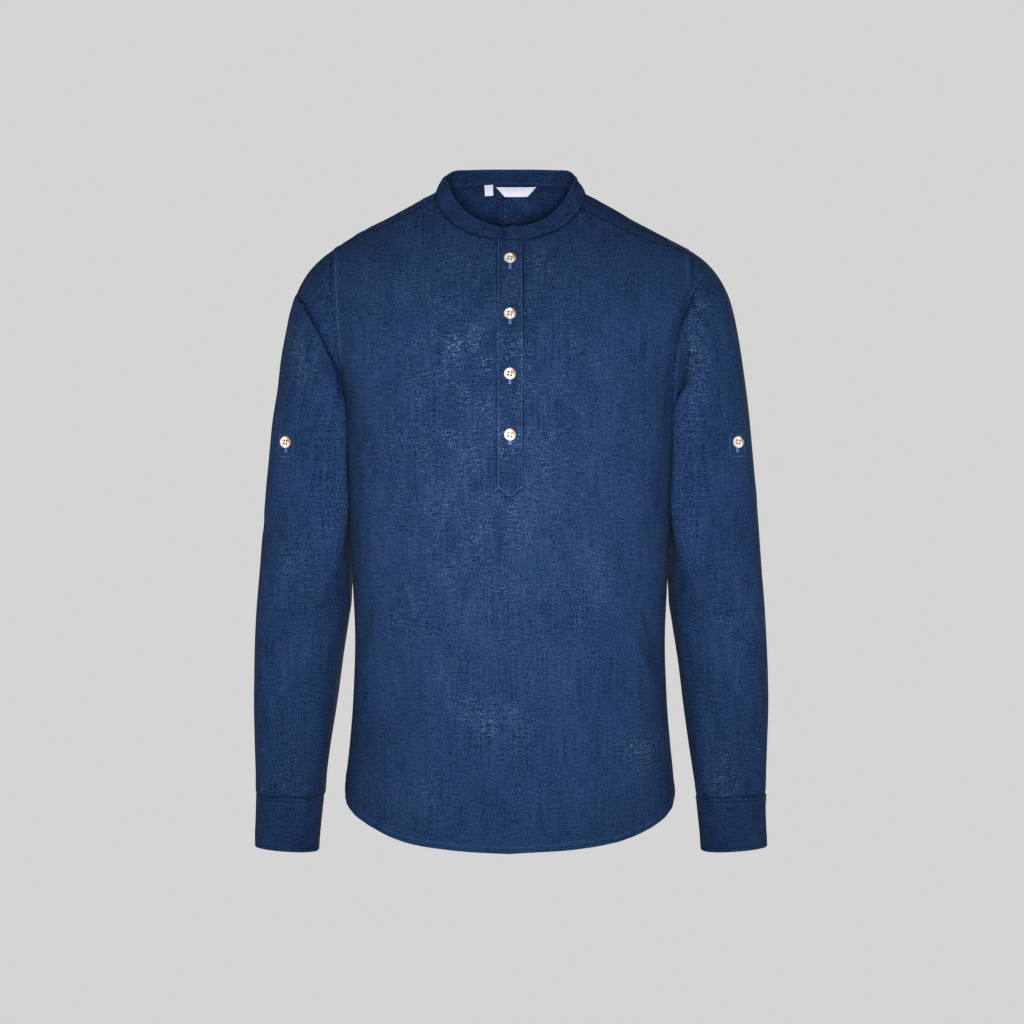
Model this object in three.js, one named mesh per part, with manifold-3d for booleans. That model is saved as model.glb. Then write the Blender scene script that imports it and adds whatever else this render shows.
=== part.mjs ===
// Band-collar popover shirt, filled out as it is when worn, with nobody in it.
// Millimetres, +Z up. The front faces -Y and +X is the wearer's left. The origin is on the centre line,
// level with the two points where the collar seam meets the shoulders.

import * as THREE from "three";
import { mergeVertices } from "three/addons/utils/BufferGeometryUtils.js";
import Module from "manifold-3d";

const wasm = await Module();
wasm.setup();

// Cloth and seams
const CLOTH = 1.2; // one layer of linen shirting with its turnings
const DOUBLE_CLOTH = 2.0; // two layers and their lining: collar, cuffs and plackets
const LABEL_CLOTH = 1.0;
const SEAM_GAP = 0.4;
const LAID_GAP = 0.3; // between a panel and what is sewn on it
const DEGREE = Math.PI / 180;
const TURN = 2 * Math.PI;

// A short table: its first line names the columns, and each row becomes an object.
function table(columns, ...rows) {
  const names = columns.split(" ");
  return rows.map((row) => Object.fromEntries(names.map((name, k) => [name, row[k]])));
}

// Level sections through the filled-out shirt. Above the armpit they take in the top of the sleeves.
const BODY = table(
  "z halfWidth front back roundness",
  [24, 60, 1, 52, 3],
  [16, 69, 1.5, 60, 3],
  [8, 79, 2, 68, 3],
  [0, 83.3, 3, 73, 3],
  [-6, 95, 8, 75, 3],
  [-17, 115, 19.5, 79, 3],
  [-29, 137, 30.6, 83, 3],
  [-39, 157, 38.8, 86, 3],
  [-52, 180, 49, 90, 3],
  [-66, 203, 59, 94, 3],
  [-80, 219.5, 68, 97.5, 2.9],
  [-100, 235, 78.5, 102, 2.8],
  [-120, 243, 88, 105, 2.72],
  [-142, 243, 97, 108, 2.63],
  [-165, 232, 105, 110.5, 2.56],
  [-190, 215, 111, 112, 2.5],
  [-210, 201, 114, 112.5, 2.48],
  [-225, 192.5, 117, 112.5, 2.46],
  [-236, 189, 118, 112, 2.45],
  [-265, 186, 120, 111, 2.4],
  [-310, 182.5, 120, 108, 2.4],
  [-370, 179, 117, 102, 2.4],
  [-433, 175.5, 112, 97, 2.4],
  [-500, 172.8, 110, 95, 2.4],
  [-568, 175, 111, 97, 2.4],
  [-613, 178.5, 113, 100.5, 2.4],
  [-657, 182.5, 116, 104, 2.4],
  [-700, 184, 118, 107, 2.4],
  [-745, 184.5, 119, 109, 2.4],
);

// Neckline, armholes, yoke and hem
const NECK = { halfWidth: 83.3, frontDrop: 58.5, backRise: 16, backPower: 0.8 };
const ARMHOLE_TOP = -64.6;
const ARMPIT = -236;
const ARMHOLE = table(
  "z x",
  [-64.6, 201],
  [-80, 200.5],
  [-100, 200],
  [-120, 199],
  [-142, 197],
  [-165, 195],
  [-190, 193],
  [-210, 191],
  [-225, 189.7],
  [-236, 189],
);
const FRONT_YOKE_SEAM = {
  left: table(
    "x z",
    [79.4, -17.5],
    [100, -29],
    [120, -39],
    [140, -47.5],
    [160, -54.5],
    [180, -61],
    [200.8, -71.5],
  ),
  right: table(
    "x z",
    [82.9, -5],
    [100, -15.8],
    [120, -29.3],
    [140, -38.6],
    [160, -45.5],
    [180, -55],
    [200.9, -67.8],
  ),
};
const BACK_YOKE_SEAM = -86;
const SIDE_HEM = -658;
const TAIL_DROP = 8; // how much lower the back tail hangs than the front one
const HEM = table(
  "degrees z",
  [0, -658],
  [6, -672],
  [17, -683],
  [29, -695.6],
  [40, -705.5],
  [55, -716.3],
  [74, -723.5],
  [90, -726],
);

// Sleeves. Each row is one ring, fanned between a line down the outer arm and one down the inner arm.
const SLEEVE_ROUNDNESS = 2.5;
const SLEEVE_CLEARANCE = 2.6; // from the middle of the sleeve's cloth to the middle of the body's
const SLEEVE_RINGS = table(
  "row outerZ innerZ halfDepth centreY skew",
  [0, -64.6, -236, 69, 1, 0],
  [1, -80, -240, 69.5, 1.5, 0.5],
  [2, -100, -246, 70, 2.5, 1.5],
  [3, -125, -254, 71, 4, 3],
  [4, -155, -264, 72, 6, 6],
  [5, -190, -277, 73, 8, 9],
  [6, -230, -295, 74, 10, 12],
  [7, -275, -320, 74, 12, 15],
  [8, -325, -355, 73, 12, 16],
  [9, -380, -400, 70, 11, 15],
  [10, -433, -445, 66, 10, 14],
  [11, -490, -497, 61, 6, 11],
  [12, -545, -550, 56, 1, 9],
  [13, -600, -604, 51, -4, 7],
  [14, -640, -644, 47.5, -8.5, 5.5],
  [15, -670.5, -674, 44.5, -12, 4],
  [16, -732, -738, 42.5, -14, 3],
);
const SLEEVE_END = 15; // the cuff takes the last stretch of the table
const CAP_FADE = 5; // rows over which the armhole's own outline dies away
const OUTER_ARM = table(
  "z x",
  [-64.6, 201],
  [-72.8, 212.2],
  [-86.2, 225.7],
  [-99.7, 235.2],
  [-119.8, 244.7],
  [-142, 250.9],
  [-187, 258.7],
  [-232, 264.3],
  [-276, 268.8],
  [-344, 275],
  [-411, 280],
  [-478, 285],
  [-523, 286.7],
  [-568, 287.3],
  [-612, 286.2],
  [-680, 284],
  [-732, 285.6],
);
const INNER_ARM = table(
  "z x",
  [-236, 190],
  [-265, 188.6],
  [-310, 185.1],
  [-370, 181.6],
  [-433, 178.5],
  [-456, 179],
  [-478, 182],
  [-523, 188.7],
  [-568, 194.3],
  [-612, 200.5],
  [-657, 206.6],
  [-702, 211.1],
  [-738, 213.9],
);

// The largest creases, as lines seen from the front or from behind. Troughs have a minus height.
const FOLDS = table(
  "face x0 z0 x1 z1 width height",
  ["front", 146, -470, 166, -523, 10, -4],
  ["front", 36, -563, 28, -725, 22, -5],
  ["front", -134, -340, -134, -570, 20, -4],
  ["front", -52, -170, -58, -310, 26, 2],
  ["front", -235, -133, -195, -201, 8, -5],
  ["front", 215, -100, 188, -166, 8, -5],
  ["front", 238, -110, 214, -170, 12, 4],
  ["front", 232, -392, 266, -430, 9, -4],
  ["front", -238, -400, -268, -372, 9, -4],
  ["front", 257, -616, 270, -668, 7, -3],
  ["front", 217, -571, 230, -613, 8, -3],
  ["front", -250, -563, -254, -652, 8, -3],
  ["back", 62, -300, 54, -640, 24, -4],
  ["back", -58, -330, -66, -600, 24, -4],
  ["back", 172, -200, 112, -268, 11, -4],
  ["back", -174, -214, -104, -262, 11, -4],
  ["back", 150, -470, 168, -530, 12, -4],
  ["back", 214, -382, 262, -404, 9, -4],
  ["back", -212, -396, -264, -388, 9, -4],
  ["back", 216, -430, 266, -436, 8, -3],
  ["back", -218, -438, -266, -446, 8, -3],
);

// Collar band: it leans in towards the neck, and its ends meet a little to the wearer's right
const BAND = {
  height: 20,
  lift: 1.1,
  frontLean: 38 * DEGREE,
  sideLean: 31 * DEGREE,
  backLean: 32 * DEGREE,
  meetX: -9,
  endGap: 0.8,
  cornerRadius: 8,
};

// Button placket at the front
const PLACKET = { halfWidth: 13.4, cornerZ: -330.6, tipZ: -338.6, tipHalfWidth: 2.6 };
const SLIT = { halfWidth: 12, endZ: -318 };
const UNDER_PLACKET_GAP = 0.3;

// Buttons, labels, cuff lap and the strip over each cuff's slit
const BUTTON = { radius: 6.4, thickness: 2.6, rimWidth: 1.8, dish: 0.6, holeRadius: 0.75, holeOffset: 1.35 };
const FRONT_BUTTONS_Z = [-78.9, -141.2, -207.5, -273.7];
// A sleeve button's seat is measured from the middle of the cloth, whose flats lie a little inside its curve.
const SLEEVE_BUTTONS = { left: { x: 253.3, z: -279.9, seat: 0.5 }, right: { x: 250.4, z: -279.9, seat: 0.9 } };
const CUFF = { columns: 28, lapColumns: 2, lapStart: 285 * DEGREE, riseFrom: 300 * DEGREE, lapGap: 0.4 };
const CUFF_ROUNDNESS = 2.2;
const SLEEVE_PLACKET = { width: 25, tipRow: 11.5, shoulderRow: 11.75, angle: 299 * DEGREE, armHalfWidth: 37 };
const LABEL_HANG = 3.5;
const NECK_LABEL = { topZ: 14.4, endZ: 3, topFrom: -16.4, topTo: 30, endFrom: -6, endTo: 21.3 };
const SIZE_LABEL = { topZ: 15, endZ: 4.5, topFrom: -29.4, topTo: -18.9, endFrom: -29, endTo: -18.6 };

// How finely each edge is divided
const SEAM_STEPS = 6;
const NECK_STEPS = 14;
const ARMHOLE_STEPS = 9;
const OVER_SHOULDER_STEPS = 6;
const SIDE_STEPS = 16;
const BACK_STEPS = 18;
const BAND_STEPS = 34;
const YOKE_NECK_SHARE = 0.14; // share of the yoke's neck edge that faces each armhole

// Numbers and curves
const clamp = (value, low, high) => Math.min(high, Math.max(low, value));
const mix = (a, b, share) => a + (b - a) * share;

function smooth(from, to, value) {
  const share = clamp((value - from) / (to - from), 0, 1);
  return share * share * (3 - 2 * share);
}

// A smooth curve through a table's rows that never swings past them.
function through(rows, along, value) {
  const sorted = [...rows].sort((a, b) => a[along] - b[along]);
  const x = sorted.map((row) => row[along]);
  const y = sorted.map((row) => row[value]);
  const last = x.length - 1;
  const rise = x.slice(1).map((_, k) => (y[k + 1] - y[k]) / (x[k + 1] - x[k]));
  const slope = x.map((_, k) => {
    if (k === 0 || k === last) return rise[Math.min(k, last - 1)];
    const turns = rise[k - 1] * rise[k] <= 0;
    return turns ? 0 : (2 * rise[k - 1] * rise[k]) / (rise[k - 1] + rise[k]);
  });
  return (at) => {
    const inside = clamp(at, x[0], x[last]);
    const after = x.findIndex((edge) => edge >= inside);
    const k = Math.max(0, after - 1);
    const span = x[k + 1] - x[k];
    const q = (inside - x[k]) / span;
    const ends = mix(y[k], y[k + 1], q * q * (3 - 2 * q));
    return ends + span * (slope[k] * q * (1 - q) ** 2 - slope[k + 1] * q * q * (1 - q));
  };
}

function superellipse(angle, roundness) {
  const across = Math.cos(angle);
  const forward = Math.sin(angle);
  const size = (Math.abs(across) ** roundness + Math.abs(forward) ** roundness) ** (1 / roundness);
  return [across / size, forward / size];
}

const body = {
  halfWidth: through(BODY, "z", "halfWidth"),
  front: through(BODY, "z", "front"),
  back: through(BODY, "z", "back"),
  roundness: through(BODY, "z", "roundness"),
};
const armholeX = through(ARMHOLE, "z", "x");
const hemZ = through(HEM, "degrees", "z");
const outerArm = through(OUTER_ARM, "z", "x");
const innerArm = through(INNER_ARM, "z", "x");
const ring = {
  outerZ: through(SLEEVE_RINGS, "row", "outerZ"),
  innerZ: through(SLEEVE_RINGS, "row", "innerZ"),
  halfDepth: through(SLEEVE_RINGS, "row", "halfDepth"),
  centreY: through(SLEEVE_RINGS, "row", "centreY"),
  skew: through(SLEEVE_RINGS, "row", "skew"),
};

// Height of the creases at a place on the front or the back.
function foldHeight(face, x, z) {
  let height = 0;
  for (const fold of FOLDS) {
    if (fold.face !== face) continue;
    const dx = fold.x1 - fold.x0;
    const dz = fold.z1 - fold.z0;
    const along = ((x - fold.x0) * dx + (z - fold.z0) * dz) / (dx * dx + dz * dz);
    const share = clamp(along, 0, 1);
    const away = Math.hypot(x - fold.x0 - share * dx, z - fold.z0 - share * dz);
    height += fold.height * Math.exp(-((away / fold.width) ** 2));
  }
  return height;
}

// The unit vector square to a surface, where point(u, v) gives its points.
function squareTo(point, u, v, du, dv) {
  const alongU = point(u + du, v).sub(point(u - du, v));
  const alongV = point(u, v + dv).sub(point(u, v - dv));
  return alongU.cross(alongV).normalize();
}

// Body surface. The angle runs from the wearer's left side (0) by the front (90) to the right side (180)
// and by the back (270) to the left side again (360).
function plainBody(angle, z) {
  const [across, forward] = superellipse(angle, body.roundness(z));
  const depth = forward > 0 ? body.front(z) : body.back(z);
  return new THREE.Vector3(across * body.halfWidth(z), -forward * depth, z);
}

const BODY_STEP = { angle: 0.004, z: 0.5 };

// Cross products of the two steps point inwards, hence the sign.
function outwardFrom(point, angle, z) {
  return squareTo(point, angle, z, BODY_STEP.angle, BODY_STEP.z).negate();
}

function bodyPoint(angle, z) {
  const plain = plainBody(angle, z);
  const forward = Math.sin(angle);
  const fromSide = smooth(0, 0.35, Math.abs(forward));
  const height = fromSide * foldHeight(forward > 0 ? "front" : "back", plain.x, z);
  return plain.addScaledVector(outwardFrom(plainBody, angle, z), height);
}

function bodyNormal(angle, z) {
  return outwardFrom(bodyPoint, angle, z);
}

// The angle at which the front has this x at this height.
function frontAngle(x, z) {
  const roundness = body.roundness(z);
  const across = clamp(x / body.halfWidth(z), -1, 1);
  const forward = (1 - Math.abs(across) ** roundness) ** (1 / roundness);
  return Math.atan2(forward, across);
}

// Edges of the panels, as lists of [angle, z]. Each is divided evenly by its real length.
function evenly(curve, steps) {
  const fine = 40 * steps;
  const lengths = [0];
  let before = bodyPoint(...curve(0));
  for (let k = 1; k <= fine; k += 1) {
    const here = bodyPoint(...curve(k / fine));
    lengths.push(lengths[k - 1] + here.distanceTo(before));
    before = here;
  }
  return Array.from({ length: steps + 1 }, (_, k) => {
    const target = (lengths[fine] * k) / steps;
    const after = Math.max(1, lengths.findIndex((length) => length >= target - 1e-9));
    const share = (target - lengths[after - 1]) / (lengths[after] - lengths[after - 1]);
    return curve((after - 1 + share) / fine);
  });
}

// Moves an edge of the body surface across it, upwards, by a real distance.
function raised(edge, distance) {
  return edge.map(([angle, z], k) => {
    const here = bodyPoint(angle, z);
    const before = bodyPoint(...edge[Math.max(0, k - 1)]);
    const along = bodyPoint(...edge[Math.min(edge.length - 1, k + 1)]).sub(before);
    const across = bodyNormal(angle, z).cross(along).normalize();
    across.multiplyScalar(across.z > 0 ? distance : -distance);
    const byAngle = bodyPoint(angle + BODY_STEP.angle, z).sub(here).divideScalar(BODY_STEP.angle);
    const byZ = bodyPoint(angle, z + BODY_STEP.z).sub(here).divideScalar(BODY_STEP.z);
    const shared = byAngle.dot(byZ);
    const size = byAngle.lengthSq() * byZ.lengthSq() - shared ** 2;
    const dAngle = (across.dot(byAngle) * byZ.lengthSq() - across.dot(byZ) * shared) / size;
    const dZ = (across.dot(byZ) * byAngle.lengthSq() - across.dot(byAngle) * shared) / size;
    return [angle + dAngle, z + dZ];
  });
}

const joined = (...lists) => lists.flatMap((list, k) => (k === 0 ? list : list.slice(1)));
const turned = (edge, dAngle) => edge.map(([angle, z]) => [angle + dAngle, z]);
const mirrored = (edge) => edge.map(([angle, z]) => [Math.PI - angle, z]);

// Round the neck: -90 is the centre front, 0 the wearer's left side, 90 the centre back.
function neckPlace(turn) {
  const height = Math.sin(turn);
  if (height > 0) return [TURN - turn, NECK.backRise * height ** NECK.backPower];
  const z = NECK.frontDrop * height;
  const angle = frontAngle(NECK.halfWidth * Math.cos(turn), z);
  return [turn < 0 && Math.cos(turn) > 0 ? angle + TURN : angle, z];
}

// Round an armhole on the wearer's left: 0 is the shoulder, 180 the armpit by the front, -180 by the back.
const ARMHOLE_MIDDLE = (ARMHOLE_TOP + ARMPIT) / 2;
const ARMHOLE_HALF = (ARMHOLE_TOP - ARMPIT) / 2;

function armholePlace(turn) {
  const z = ARMHOLE_MIDDLE + ARMHOLE_HALF * Math.cos(turn);
  const angle = frontAngle(armholeX(z), z);
  return [turn < 0 ? -angle : angle, z];
}

const armholeTurn = (z) => Math.acos(clamp((z - ARMHOLE_MIDDLE) / ARMHOLE_HALF, -1, 1));

// The edges on one side of the shirt, worked out as if it were the wearer's left.
function sideEdges(side) {
  const seamRows = FRONT_YOKE_SEAM[side];
  const seamZ = through(seamRows, "x", "z");
  const neckX = seamRows[0].x;
  const neckZ = seamRows[0].z;
  const shoulderZ = seamRows[seamRows.length - 1].z;
  const frontTurn = armholeTurn(shoulderZ);
  const shoulderX = armholeX(shoulderZ);
  const backTurn = armholeTurn(BACK_YOKE_SEAM);
  const seam = (q) => {
    const x = mix(neckX, shoulderX, q);
    const z = seamZ(x);
    return [frontAngle(x, z), z];
  };
  return {
    neckTurn: Math.asin(neckZ / NECK.frontDrop),
    seam: evenly(seam, SEAM_STEPS),
    front: evenly((q) => armholePlace(mix(frontTurn, Math.PI, q)), ARMHOLE_STEPS),
    over: evenly((q) => armholePlace(mix(frontTurn, -backTurn, q)), OVER_SHOULDER_STEPS),
    back: evenly((q) => armholePlace(mix(-backTurn, -Math.PI, q)), ARMHOLE_STEPS),
    side: evenly((q) => [0, mix(ARMPIT, SIDE_HEM, q)], SIDE_STEPS),
  };
}

const edges = { left: sideEdges("left"), right: sideEdges("right") };
const SIDE_GAP = SEAM_GAP / 2 / body.front(ARMPIT);

// Fills the space between four edges with a grid of [angle, z].
function fill(top, bottom, first, last) {
  const columns = top.length - 1;
  const rows = first.length - 1;
  return first.map((_, j) =>
    top.map((_, i) => {
      const u = i / columns;
      const v = j / rows;
      return [0, 1].map((k) => {
        const ruled = mix(top[i][k], bottom[i][k], v) + mix(first[j][k], last[j][k], u);
        const corners = mix(mix(top[0][k], top[columns][k], u), mix(bottom[0][k], bottom[columns][k], u), v);
        return ruled - corners;
      });
    }),
  );
}

// Closed walls
function signedVolume(positions, index) {
  let volume = 0;
  const corner = (k) => new THREE.Vector3().fromArray(positions, 3 * index[k]);
  for (let k = 0; k < index.length; k += 3) {
    volume += corner(k).dot(corner(k + 1).cross(corner(k + 2))) / 6;
  }
  return volume;
}

function closedGeometry(positions, index) {
  const outward = signedVolume(positions, index) > 0;
  const facing = outward ? index : index.map((_, k) => index[k - (k % 3) + 2 - (k % 3)]);
  const geometry = new THREE.BufferGeometry();
  geometry.setAttribute("position", new THREE.Float32BufferAttribute(positions, 3));
  geometry.setIndex(facing);
  geometry.computeVertexNormals();
  return geometry;
}

// A wall of even thickness about a grid of points, closed at its edges, or round into a tube.
function wall(points, normals, thickness, tube = false) {
  const rows = points.length;
  const columns = points[0].length;
  const positions = [];
  for (const side of [0.5, -0.5]) {
    points.forEach((row, j) =>
      row.forEach((point, i) => {
        const place = point.clone().addScaledVector(normals[j][i], side * thickness);
        positions.push(place.x, place.y, place.z);
      }),
    );
  }
  const index = [];
  const quad = (a, b, c, d) => index.push(a, b, c, a, c, d);
  const outer = (j, i) => j * columns + (i % columns);
  const inner = (j, i) => rows * columns + outer(j, i);
  const spans = tube ? columns : columns - 1;
  for (let j = 0; j + 1 < rows; j += 1) {
    for (let i = 0; i < spans; i += 1) {
      quad(outer(j, i), outer(j, i + 1), outer(j + 1, i + 1), outer(j + 1, i));
      quad(inner(j, i + 1), inner(j, i), inner(j + 1, i), inner(j + 1, i + 1));
    }
    if (!tube) {
      quad(outer(j, 0), outer(j + 1, 0), inner(j + 1, 0), inner(j, 0));
      quad(outer(j + 1, spans), outer(j, spans), inner(j, spans), inner(j + 1, spans));
    }
  }
  for (let i = 0; i < spans; i += 1) {
    quad(outer(0, i + 1), outer(0, i), inner(0, i), inner(0, i + 1));
    quad(outer(rows - 1, i), outer(rows - 1, i + 1), inner(rows - 1, i + 1), inner(rows - 1, i));
  }
  return closedGeometry(positions, index);
}

// A wall on the body surface, moved out from it, or in with a minus distance.
function bodyWall(places, thickness, out = 0) {
  const normals = places.map((row) => row.map(([angle, z]) => bodyNormal(angle, z)));
  const points = places.map((row, j) =>
    row.map(([angle, z], i) => bodyPoint(angle, z).addScaledVector(normals[j][i], out)),
  );
  return wall(points, normals, thickness);
}

// A wall from a grid of places, each with its point and normal.
function placedWall(places, thickness) {
  const points = places.map((row) => row.map((place) => place.point));
  const normals = places.map((row) => row.map((place) => place.normal));
  return wall(points, normals, thickness);
}

function solidOf(geometry) {
  const plain = geometry.clone();
  plain.deleteAttribute("normal");
  plain.deleteAttribute("uv");
  const merged = mergeVertices(plain, 1e-4);
  return new wasm.Manifold(
    new wasm.Mesh({
      numProp: 3,
      vertProperties: merged.attributes.position.array,
      triVerts: new Uint32Array(merged.index.array),
    }),
  );
}

function geometryOf(solid) {
  const mesh = solid.getMesh();
  const geometry = new THREE.BufferGeometry();
  geometry.setAttribute("position", new THREE.BufferAttribute(mesh.vertProperties, 3));
  geometry.setIndex(new THREE.BufferAttribute(mesh.triVerts, 1));
  geometry.computeVertexNormals();
  return geometry;
}

// Front panel, slit from the neck for the button placket
function frontPanel() {
  const { left, right } = edges;
  const neck = evenly(
    (q) => {
      const [angle, z] = neckPlace(mix(-Math.PI - right.neckTurn, left.neckTurn, q));
      return [angle % TURN, z];
    },
    NECK_STEPS,
  );
  const rightSeam = raised(mirrored(right.seam), -SEAM_GAP / 2).reverse();
  const leftSeam = raised(left.seam, -SEAM_GAP / 2);
  const top = joined(rightSeam, neck, leftSeam);
  const hem = evenly((q) => [mix(Math.PI, 0, q), hemZ(90 - 180 * Math.abs(q - 0.5))], top.length - 1);
  const first = turned(mirrored(joined(right.front, right.side)), -SIDE_GAP);
  const last = turned(joined(left.front, left.side), SIDE_GAP);
  first[0] = top[0];
  last[0] = top[top.length - 1];
  hem[0] = first[first.length - 1];
  hem[hem.length - 1] = last[last.length - 1];
  const panel = bodyWall(fill(top, hem, first, last), CLOTH);
  const cutter = new THREE.BoxGeometry(2 * SLIT.halfWidth, 400, -SLIT.endZ);
  cutter.translate(0, -200, SLIT.endZ / 2);
  return geometryOf(solidOf(panel).subtract(solidOf(cutter)));
}

// Back panel
function backHem(q) {
  const fromSide = 90 - 180 * Math.abs(q - 0.5);
  return [mix(Math.PI, TURN, q), hemZ(fromSide) - TAIL_DROP * Math.sin(fromSide * DEGREE)];
}

function backPanel() {
  const { left, right } = edges;
  const cornerAngle = left.back[0][0] + TURN;
  const seamRight = 3 * Math.PI - cornerAngle;
  const seam = evenly((q) => [mix(seamRight, cornerAngle, q), BACK_YOKE_SEAM], BACK_STEPS);
  const top = raised(seam, -SEAM_GAP / 2);
  const hem = evenly(backHem, BACK_STEPS);
  const first = turned(mirrored(joined(right.back, right.side)), SIDE_GAP);
  const last = turned(joined(left.back, left.side), TURN - SIDE_GAP);
  first[0] = top[0];
  last[0] = top[BACK_STEPS];
  hem[0] = first[first.length - 1];
  hem[BACK_STEPS] = last[last.length - 1];
  return bodyWall(fill(top, hem, first, last), CLOTH);
}

// Yoke: one panel over both shoulders, from the neck out to its seams and the armholes
function yokePanel() {
  const { left, right } = edges;
  const neckFrom = Math.PI - right.neckTurn;
  const shares = [];
  const middleShare = 1 - 2 * YOKE_NECK_SHARE;
  for (let k = 0; k < OVER_SHOULDER_STEPS; k += 1) shares.push((YOKE_NECK_SHARE * k) / OVER_SHOULDER_STEPS);
  for (let k = 0; k < BACK_STEPS; k += 1) shares.push(YOKE_NECK_SHARE + (middleShare * k) / BACK_STEPS);
  for (let k = OVER_SHOULDER_STEPS; k >= 0; k -= 1) shares.push(1 - (YOKE_NECK_SHARE * k) / OVER_SHOULDER_STEPS);
  const neck = shares.map((share) => neckPlace(mix(neckFrom, left.neckTurn, share)));
  const overRight = mirrored(right.over);
  const overLeft = turned(left.over, TURN).reverse();
  const cornerAngle = overLeft[0][0];
  const seam = evenly((q) => [mix(3 * Math.PI - cornerAngle, cornerAngle, q), BACK_YOKE_SEAM], BACK_STEPS);
  const backEdge = raised(seam, SEAM_GAP / 2);
  const outer = [...overRight.slice(0, -1), ...backEdge, ...overLeft.slice(1)];
  const first = raised(mirrored(right.seam), SEAM_GAP / 2);
  const last = turned(raised(left.seam, SEAM_GAP / 2), TURN);
  neck[0] = first[0];
  neck[neck.length - 1] = last[0];
  outer[0] = first[SEAM_STEPS];
  outer[outer.length - 1] = last[SEAM_STEPS];
  return bodyWall(fill(neck, outer, first, last), CLOTH);
}

// Collar band, leaning in all round
function bandFoot(turn) {
  const [angle, z] = neckPlace(turn);
  return bodyPoint(angle, z);
}

function bandPlace(turn, height) {
  const along = bandFoot(turn + 0.01).sub(bandFoot(turn - 0.01)).normalize();
  const inward = new THREE.Vector3(-along.y, along.x, 0).normalize();
  const frontness = Math.sin(turn);
  const endLean = frontness < 0 ? BAND.frontLean : BAND.backLean;
  const lean = mix(BAND.sideLean, endLean, frontness ** 2);
  const up = inward.clone().multiplyScalar(Math.sin(lean));
  up.z = Math.cos(lean);
  const upright = up.addScaledVector(along, -up.dot(along)).normalize();
  return {
    point: bandFoot(turn).addScaledVector(upright, BAND.lift + height),
    normal: along.clone().cross(upright).normalize(),
  };
}

function collarBand() {
  const meetTurn = Math.acos(BAND.meetX / NECK.halfWidth);
  const halfGap = BAND.endGap / 2 / NECK.halfWidth;
  const from = -meetTurn + halfGap;
  const to = TURN - meetTurn - halfGap;
  const endRadius = BAND.cornerRadius;
  const lengthPerTurn = NECK.halfWidth;
  const cornerFrom = to - endRadius / lengthPerTurn;
  const columns = Array.from({ length: BAND_STEPS + 1 }, (_, k) => mix(from, cornerFrom, k / BAND_STEPS));
  for (const share of [0.35, 0.65, 0.85, 1]) columns.push(mix(cornerFrom, to, share));
  const heights = [0, 0.35, 0.7, 1];
  const topOf = (turn) => {
    const intoCorner = clamp(endRadius - (to - turn) * lengthPerTurn, 0, endRadius);
    return BAND.height - endRadius + Math.sqrt(endRadius ** 2 - intoCorner ** 2);
  };
  const places = heights.map((share) => columns.map((turn) => bandPlace(turn, share * topOf(turn))));
  return placedWall(places, DOUBLE_CLOTH);
}

// Button placket: the pointed strip on the front, and the button strip that shows in the slit behind it
function frontNeckZ(x) {
  return -NECK.frontDrop * Math.sqrt(1 - (x / NECK.halfWidth) ** 2);
}

function placketWall(acrosses, endAt, thickness, out) {
  const rows = 18;
  const places = Array.from({ length: rows + 1 }, (_, j) =>
    acrosses.map((x) => {
      const z = mix(frontNeckZ(x) - SEAM_GAP / 2, endAt(x), j / rows);
      return [frontAngle(x, z), z];
    }),
  );
  return bodyWall(places, thickness, out);
}

const PLACKET_OUT = CLOTH / 2 + LAID_GAP + DOUBLE_CLOTH / 2;

function overPlacket() {
  const { halfWidth, tipHalfWidth, tipZ, cornerZ } = PLACKET;
  const middle = (halfWidth + tipHalfWidth) / 2;
  const acrosses = [-halfWidth, -middle, -tipHalfWidth, tipHalfWidth, middle, halfWidth];
  const endAt = (x) => mix(tipZ, cornerZ, clamp((Math.abs(x) - tipHalfWidth) / (halfWidth - tipHalfWidth), 0, 1));
  return placketWall(acrosses, endAt, DOUBLE_CLOTH, PLACKET_OUT);
}

function underPlacket() {
  const halfWidth = SLIT.halfWidth - UNDER_PLACKET_GAP;
  const acrosses = [-halfWidth, -halfWidth / 3, halfWidth / 3, halfWidth];
  return placketWall(acrosses, () => SLIT.endZ + UNDER_PLACKET_GAP, CLOTH, 0);
}

// Sleeve surface, for the wearer's left. The angle is 0 on the outer arm, 90 in front, 180 on the inner arm.
function ringPlace(row, angle, roundness) {
  const outer = new THREE.Vector2(outerArm(ring.outerZ(row)), ring.outerZ(row));
  const inner = new THREE.Vector2(innerArm(ring.innerZ(row)), ring.innerZ(row));
  const [across, forward] = superellipse(angle, roundness);
  const flat = inner.lerp(outer, (1 + across) / 2);
  const y = ring.centreY(row) - ring.halfDepth(row) * forward - ring.skew(row) * across;
  return new THREE.Vector3(flat.x, y, flat.y);
}

function plainSleeve(row, angle) {
  return ringPlace(row, angle, SLEEVE_ROUNDNESS);
}

// A place or direction worked out for the left sleeve, on the side that the sign gives.
const flipped = (sign, vector) => new THREE.Vector3(sign * vector.x, vector.y, vector.z);

const SLEEVE_STEP = { row: 0.02, angle: 0.01 };

function outOfSleeve(surface, row, angle) {
  return squareTo(surface, row, angle, SLEEVE_STEP.row, SLEEVE_STEP.angle).negate();
}

// How much a place on the sleeve faces body cloth, which starts below and beside the armhole.
function besideBody(place) {
  const level = (place.z - ARMHOLE_MIDDLE) / ARMHOLE_HALF;
  const reach = Math.hypot(place.y / ring.halfDepth(0), level);
  return smooth(0.93, 1, reach) * smooth(-ARMHOLE_HALF / 2, -ARMHOLE_HALF, place.z - ARMHOLE_MIDDLE);
}

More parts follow.
